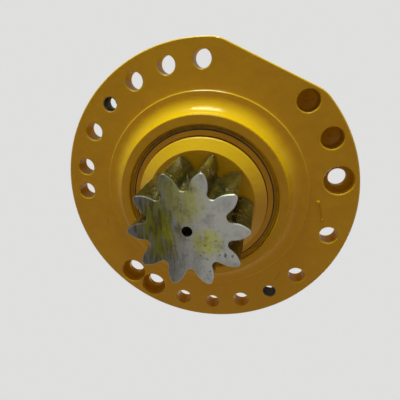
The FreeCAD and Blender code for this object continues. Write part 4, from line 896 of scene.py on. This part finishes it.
def thread_tree():
    """A thread's ridge that winds up from each point."""
    maker = Maker("thread", ("Radius", "Pitch", "Length", "Ridge"))
    given = maker.given
    spiral = maker.add("GeometryNodeCurveSpiral")
    maker.put(spiral, "Resolution", 28)
    maker.put(spiral, "Rotations", maker.math("DIVIDE", given["Length"], given["Pitch"]))
    maker.put(spiral, "Start Radius", given["Radius"])
    maker.put(spiral, "End Radius", given["Radius"])
    maker.put(spiral, "Height", given["Length"])
    upright = maker.put(maker.add("GeometryNodeSetCurveNormal", mode="Z_UP"), "Curve", spiral.outputs[0])
    section = maker.add("GeometryNodeCurvePrimitiveCircle", mode="RADIUS")
    maker.put(section, "Resolution", 4)
    maker.put(section, "Radius", given["Ridge"])
    swept = maker.put(maker.add("GeometryNodeCurveToMesh"), "Curve", upright.outputs[0])
    maker.put(swept, "Profile Curve", section.outputs[0])
    maker.put(swept, "Fill Caps", True)
    placed = maker.put(maker.add("GeometryNodeInstanceOnPoints"), "Points", given["Geometry"])
    maker.put(placed, "Instance", swept.outputs[0])
    return maker.end(placed.outputs[0])


def knurl_tree():
    """Upright ridges round a head of a given radius, at each point."""
    maker = Maker("knurl", ("Radius", "Depth", "Height"), ("Ridges",))
    given = maker.given
    circle = maker.put(maker.add("GeometryNodeMeshCircle"), "Vertices", given["Ridges"])
    maker.put(circle, "Radius", given["Radius"])
    ridge = maker.put(maker.add("GeometryNodeMeshCylinder"), "Vertices", 4)
    maker.put(ridge, "Radius", given["Depth"])
    maker.put(ridge, "Depth", given["Height"])
    turn = maker.add("FunctionNodeAlignRotationToVector", axis="X", pivot_axis="Z")
    maker.put(turn, "Vector", maker.add("GeometryNodeInputPosition").outputs[0])
    row = maker.put(maker.add("GeometryNodeInstanceOnPoints"), "Points", circle.outputs[0])
    maker.put(row, "Instance", ridge.outputs[0])
    maker.put(row, "Rotation", turn.outputs[0])
    head = maker.put(maker.add("GeometryNodeRealizeInstances"), "Geometry", row.outputs[0])
    placed = maker.put(maker.add("GeometryNodeInstanceOnPoints"), "Points", given["Geometry"])
    maker.put(placed, "Instance", head.outputs[0])
    return maker.end(placed.outputs[0])


def coil_tree():
    """A closed ring of coiled wire."""
    maker = Maker("garter coil", ("Ring radius", "Coil radius", "Height", "Wire"), ("Turns", "Points"))
    given = maker.given
    line = maker.add("GeometryNodeCurvePrimitiveLine")
    row = maker.put(maker.add("GeometryNodeResampleCurve"), "Curve", line.outputs[0])
    maker.put(row, "Count", given["Points"])
    index = maker.add("GeometryNodeInputIndex").outputs[0]
    share = maker.math("DIVIDE", index, given["Points"])
    around = maker.math("MULTIPLY", share, 2.0 * math.pi)
    coil = maker.math("MULTIPLY", around, given["Turns"])
    reach = maker.math("MULTIPLY_ADD", maker.math("COSINE", coil), given["Coil radius"], given["Ring radius"])
    place = maker.point(
        maker.math("MULTIPLY", reach, maker.math("COSINE", around)),
        maker.math("MULTIPLY", reach, maker.math("SINE", around)),
        maker.math("MULTIPLY_ADD", maker.math("SINE", coil), given["Coil radius"], given["Height"]),
    )
    wound = maker.put(maker.add("GeometryNodeSetPosition"), "Geometry", row.outputs[0])
    maker.put(wound, "Position", place)
    closed = maker.put(maker.add("GeometryNodeSetSplineCyclic"), "Geometry", wound.outputs[0])
    maker.put(closed, "Cyclic", True)
    section = maker.add("GeometryNodeCurvePrimitiveCircle", mode="RADIUS")
    maker.put(section, "Resolution", 6)
    maker.put(section, "Radius", given["Wire"])
    wire = maker.put(maker.add("GeometryNodeCurveToMesh"), "Curve", closed.outputs[0])
    maker.put(wire, "Profile Curve", section.outputs[0])
    smooth = maker.put(maker.add("GeometryNodeSetShadeSmooth"), "Geometry", wire.outputs[0])
    return maker.end(smooth.outputs[0])


def bead_tree():
    """An uneven bead of grease round the shaft."""
    maker = Maker("grease bead", ("Ring radius", "Height", "Thickness", "Wobble"))
    given = maker.given
    circle = maker.add("GeometryNodeCurvePrimitiveCircle", mode="RADIUS")
    maker.put(circle, "Resolution", 260)
    maker.put(circle, "Radius", given["Ring radius"])
    noise = maker.add("ShaderNodeTexNoise", noise_dimensions="4D")
    maker.put(noise, "Scale", 60.0)
    maker.put(noise, "W", 3.0)
    uneven = maker.math("SUBTRACT", noise.outputs[0], 0.5)
    lifted = maker.put(maker.add("GeometryNodeSetPosition"), "Geometry", circle.outputs[0])
    sway = maker.math("MULTIPLY", uneven, given["Wobble"])
    maker.put(lifted, "Offset", maker.point(0.0, 0.0, maker.math("ADD", sway, given["Height"])))
    section = maker.add("GeometryNodeCurvePrimitiveCircle", mode="RADIUS")
    maker.put(section, "Resolution", 8)
    maker.put(section, "Radius", given["Thickness"])
    bead = maker.put(maker.add("GeometryNodeCurveToMesh"), "Curve", lifted.outputs[0])
    maker.put(bead, "Profile Curve", section.outputs[0])
    smooth = maker.put(maker.add("GeometryNodeSetShadeSmooth"), "Geometry", bead.outputs[0])
    return maker.end(smooth.outputs[0])


class GEARBOX_OT_cut_threads(bpy.types.Operator):
    """Winds the threads of the two jack holes and the six motor bolt holes"""
    bl_idname = "gearbox.cut_threads"
    bl_label = "Cut the threads"

    def execute(self, context):
        size = settings().threads
        steel = machined(
            "bare thread steel", (0.16, 0.14, 0.12), (0.05, 0.038, 0.022), 0.36, 0.0006, "height", 0.7
        )
        tree = thread_tree()
        feet = [on_circle(BOLT_CIRCLE, degrees, 0.0018) for degrees in (-133.0, 60.0)]
        mesh = made_mesh(
            tree, "jack_threads", feet, Radius=size.jack_radius, Pitch=size.pitch,
            Length=0.0244, Ridge=size.ridge, Material=steel,
        )
        new_piece("jack_threads", mesh, steel, "housing")
        feet = [on_circle(size.motor_circle, 30.0 + 60.0 * n, 0.3370) for n in range(6)]
        mesh = made_mesh(
            tree, "motor_threads", feet, Radius=size.motor_radius, Pitch=size.motor_pitch,
            Length=0.0270, Ridge=size.motor_ridge, Material=steel,
        )
        new_piece("motor_threads", mesh, steel, "housing")
        return {"FINISHED"}


class GEARBOX_OT_knurl_heads(bpy.types.Operator):
    """Knurls the heads of the twelve long bolts and ribs the two caps"""
    bl_idname = "gearbox.knurl_heads"
    bl_label = "Knurl heads and caps"

    def execute(self, context):
        size = settings().knurls
        low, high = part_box("housing_bolts")
        top = high.z
        height = 0.0100
        tree = knurl_tree()
        centres = [on_circle(size.bolt_circle, 30.0 * n, top - 0.0021 - 0.5 * height) for n in range(12)]
        mesh = made_mesh(
            tree, "bolt_knurls", centres, Radius=size.head_radius, Depth=size.depth,
            Height=height, Ridges=size.ridges, Material=black_oxide(),
        )
        new_piece("bolt_knurls", mesh, black_oxide(), "housing")

        # The breather's elbow lies at 15 degrees, so its cap's far side gives the cap's distance
        reach = (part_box("breather")[1].x - size.breather_radius) / math.cos(math.radians(15.0))
        brass = bpy.data.materials["dull brass"]
        mesh = made_mesh(
            tree, "breather_ribs", [on_circle(reach, 15.0, size.breather_height)],
            Radius=size.breather_radius, Depth=size.cap_depth, Height=0.008,
            Ridges=size.cap_ridges, Material=brass,
        )
        new_piece("breather_ribs", mesh, brass, "housing")
        stick = bpy.data.materials["dipstick steel"]
        low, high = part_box("dipstick")
        mesh = made_mesh(
            tree, "dipstick_ribs", [(0.5 * (low.x + high.x), 0.0, size.dipstick_height)],
            Radius=size.dipstick_radius, Depth=size.cap_depth, Height=0.010,
            Ridges=size.cap_ridges, Material=stick,
        )
        new_piece("dipstick_ribs", mesh, stick, "dipstick_body")
        return {"FINISHED"}


class GEARBOX_OT_wind_spring(bpy.types.Operator):
    """Winds the seal's garter spring from wire"""
    bl_idname = "gearbox.wind_spring"
    bl_label = "Wind the garter spring"

    def execute(self, context):
        size, colours = settings().spring, settings().metals
        low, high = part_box("garter_spring")
        coil = 0.5 * (high.z - low.z)
        steel = machined("drawn spring wire", colours.spring, (0.10, 0.09, 0.08), 0.28, 0.0005, "height", 0.4)
        mesh = made_mesh(
            coil_tree(), "garter_coil", [(0.0, 0.0, 0.0)],
            **{
                "Ring radius": high.x - coil, "Coil radius": coil - size.wire, "Height": 0.5 * (high.z + low.z),
                "Wire": size.wire, "Turns": size.turns, "Points": size.turns * 9, "Material": steel,
            }
        )
        piece = new_piece("garter_coil", mesh, steel, "housing")
        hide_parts("garter_spring")
        return {"FINISHED"}


class GEARBOX_OT_lay_grease(bpy.types.Operator):
    """Lays a thin uneven bead of old grease where the seal's lip meets the sleeve"""
    bl_idname = "gearbox.lay_grease"
    bl_label = "Lay the grease bead"

    def execute(self, context):
        look = settings().rubber
        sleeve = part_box("seal_sleeve")[1].x
        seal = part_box("oil_seal")[0].z
        finish = Finish("old grease")
        tone = finish.blend(finish.span(finish.noise(0.006, 4.0, 0.6), 0.35, 0.7), look.grease, (0.07, 0.052, 0.012))
        lumps = finish.bump(finish.noise(0.002, 3.0, 0.6), 0.0003)
        grease = finish.surface(Base_Color=tone, Roughness=0.22, Normal=lumps)
        mesh = made_mesh(
            bead_tree(), "seal_grease", [(0.0, 0.0, 0.0)],
            **{
                "Ring radius": sleeve + 0.0004, "Height": seal, "Thickness": 0.0007,
                "Wobble": 0.0008, "Material": grease,
            }
        )
        new_piece("seal_grease", mesh, grease, "housing")
        return {"FINISHED"}


# Stage

def area_lamp(name, power, colour, place, aim, width, height, spread):
    lamp = bpy.data.lights.new(name, "AREA")
    lamp.shape = "RECTANGLE"
    lamp.size, lamp.size_y = width, height
    lamp.energy = power
    lamp.color = colour
    lamp.spread = math.radians(spread)
    holder = bpy.data.objects.new(name, lamp)
    bpy.context.scene.collection.objects.link(holder)
    holder.location = place
    holder.rotation_euler = (Vector(aim) - Vector(place)).to_track_quat("-Z", "Y").to_euler()
    return holder


class GEARBOX_OT_set_stage(bpy.types.Operator):
    """Sets the pale floor, the soft lamps, the background and the camera"""
    bl_idname = "gearbox.set_stage"
    bl_label = "Set the stage"

    def execute(self, context):
        look = settings().stage
        scene = context.scene
        mesh = bpy.data.meshes.new("floor")
        shape = bmesh.new()
        bmesh.ops.create_circle(shape, cap_ends=True, segments=96, radius=4.0)
        bmesh.ops.translate(shape, verts=shape.verts, vec=(0.0, 0.0, look.floor_height))
        shape.to_mesh(mesh)
        shape.free()
        floor = bpy.data.objects.new("floor", mesh)
        scene.collection.objects.link(floor)
        finish = Finish("pale floor")
        grain = finish.bump(finish.noise(0.004, 2.0, 0.5), 0.0003)
        tone = finish.blend(
            finish.noise(0.4, 2.0, 0.5), look.floor_colour, tuple(0.97 * c for c in look.floor_colour)
        )
        rays = finish.add("ShaderNodeLightPath").outputs
        seen = finish.either(rays["Is Camera Ray"], rays["Is Glossy Ray"])
        tone = finish.blend(finish.either(seen, rays["Is Transmission Ray"]), look.floor_glow, tone)
        seen = finish.either(seen, rays["Is Transmission Ray"])
        mesh.materials.append(finish.surface(
            Base_Color=tone, Roughness=0.8, Specular_IOR_Level=0.2, Normal=grain,
            Emission_Color=look.floor_colour, Emission_Strength=finish.both(seen, look.floor_seen),
            Alpha=finish.span(finish.radius, 3.8, 1.3),
        ))

        world = bpy.data.worlds.new("room")
        scene.world = world
        world.use_nodes = True
        tree = world.node_tree
        tree.nodes.clear()
        rays = tree.nodes.new("ShaderNodeLightPath")
        seen = tree.nodes.new("ShaderNodeMath")
        seen.operation = "MAXIMUM"
        through = tree.nodes.new("ShaderNodeMath")
        through.operation = "MAXIMUM"
        tree.links.new(rays.outputs["Is Camera Ray"], seen.inputs[0])
        tree.links.new(rays.outputs["Is Glossy Ray"], seen.inputs[1])
        tree.links.new(seen.outputs[0], through.inputs[0])
        tree.links.new(rays.outputs["Is Transmission Ray"], through.inputs[1])
        room = tree.nodes.new("ShaderNodeBackground")
        room.inputs["Color"].default_value = (1.0, 0.87, 0.78, 1.0)
        room.inputs["Strength"].default_value = look.ambient
        backdrop = tree.nodes.new("ShaderNodeBackground")
        backdrop.inputs["Color"].default_value = (*look.backdrop, 1.0)
        mix = tree.nodes.new("ShaderNodeMixShader")
        output = tree.nodes.new("ShaderNodeOutputWorld")
        tree.links.new(through.outputs[0], mix.inputs[0])
        tree.links.new(room.outputs[0], mix.inputs[1])
        tree.links.new(backdrop.outputs[0], mix.inputs[2])
        tree.links.new(mix.outputs[0], output.inputs["Surface"])

        middle = (0.0, 0.0, 0.05)
        area_lamp("main lamp", look.key_power, (0.84, 1.0, 0.74), (-0.12, -2.52, -0.06), middle, 1.15, 0.32, 60.0)
        area_lamp("top lamp", look.fill_power, (1.0, 0.98, 0.95), (0.90, 1.15, 1.60), middle, 1.2, 1.2, 80.0)

        data = bpy.data.cameras.new("camera")
        data.lens, data.sensor_width = 31.95, 36.0
        data.shift_x, data.shift_y = 0.0133, 0.0074
        data.clip_start, data.clip_end = 0.01, 50.0
        data.dof.use_dof = False
        camera = bpy.data.objects.new("camera", data)
        scene.collection.objects.link(camera)
        right = Vector((0.97974, 0.07095, 0.18729))
        up = Vector((0.0, -0.93515, 0.35426))
        back = Vector((0.20028, -0.34708, -0.91620))
        camera.matrix_world = Matrix((
            (right.x, up.x, back.x, 0.09540),
            (right.y, up.y, back.y, -0.18102),
            (right.z, up.z, back.z, -0.51290),
            (0.0, 0.0, 0.0, 1.0),
        ))
        scene.camera = camera
        scene.view_settings.view_transform = "Standard"
        return {"FINISHED"}


class GearboxSettings(bpy.types.PropertyGroup):
    paint: PointerProperty(type=PaintSettings)
    pinion: PointerProperty(type=PinionSettings)
    metals: PointerProperty(type=MetalSettings)
    rubber: PointerProperty(type=RubberSettings)
    threads: PointerProperty(type=ThreadSettings)
    knurls: PointerProperty(type=KnurlSettings)
    spring: PointerProperty(type=SpringSettings)
    stage: PointerProperty(type=StageSettings)


OPERATORS = (
    GEARBOX_OT_paint_housing,
    GEARBOX_OT_paint_sleeve,
    GEARBOX_OT_add_paint_runs,
    GEARBOX_OT_finish_pinion,
    GEARBOX_OT_finish_gears,
    GEARBOX_OT_finish_bearings,
    GEARBOX_OT_finish_carriers,
    GEARBOX_OT_finish_bronze,
    GEARBOX_OT_finish_fasteners,
    GEARBOX_OT_finish_rubber,
    GEARBOX_OT_cut_threads,
    GEARBOX_OT_knurl_heads,
    GEARBOX_OT_wind_spring,
    GEARBOX_OT_lay_grease,
    GEARBOX_OT_set_stage,
)


class VIEW3D_PT_gearbox(bpy.types.Panel):
    """Lists the steps that dress the gearbox"""
    bl_label = "Swing Gearbox"
    bl_idname = "VIEW3D_PT_gearbox"
    bl_space_type = "VIEW_3D"
    bl_region_type = "UI"
    bl_category = "Swing Gearbox"

    def draw(self, context):
        for step in OPERATORS:
            self.layout.operator(step.bl_idname)


CLASSES = (
    PaintSettings, PinionSettings, MetalSettings, RubberSettings, ThreadSettings, KnurlSettings,
    SpringSettings, StageSettings, GearboxSettings, *OPERATORS, VIEW3D_PT_gearbox,
)


def register():
    for item in CLASSES:
        bpy.utils.register_class(item)
    bpy.types.Scene.gearbox = PointerProperty(type=GearboxSettings)


def unregister():
    del bpy.types.Scene.gearbox
    for item in reversed(CLASSES):
        bpy.utils.unregister_class(item)


def main():
    register()
    bpy.ops.gearbox.paint_housing()
    bpy.ops.gearbox.paint_sleeve()
    bpy.ops.gearbox.add_paint_runs()
    bpy.ops.gearbox.finish_pinion()
    bpy.ops.gearbox.finish_gears()
    bpy.ops.gearbox.finish_bearings()
    bpy.ops.gearbox.finish_carriers()
    bpy.ops.gearbox.finish_bronze()
    bpy.ops.gearbox.finish_fasteners()
    bpy.ops.gearbox.finish_rubber()
    bpy.ops.gearbox.cut_threads()
    bpy.ops.gearbox.knurl_heads()
    bpy.ops.gearbox.wind_spring()
    bpy.ops.gearbox.lay_grease()
    bpy.ops.gearbox.set_stage()


if __name__ == "__main__":
    main()
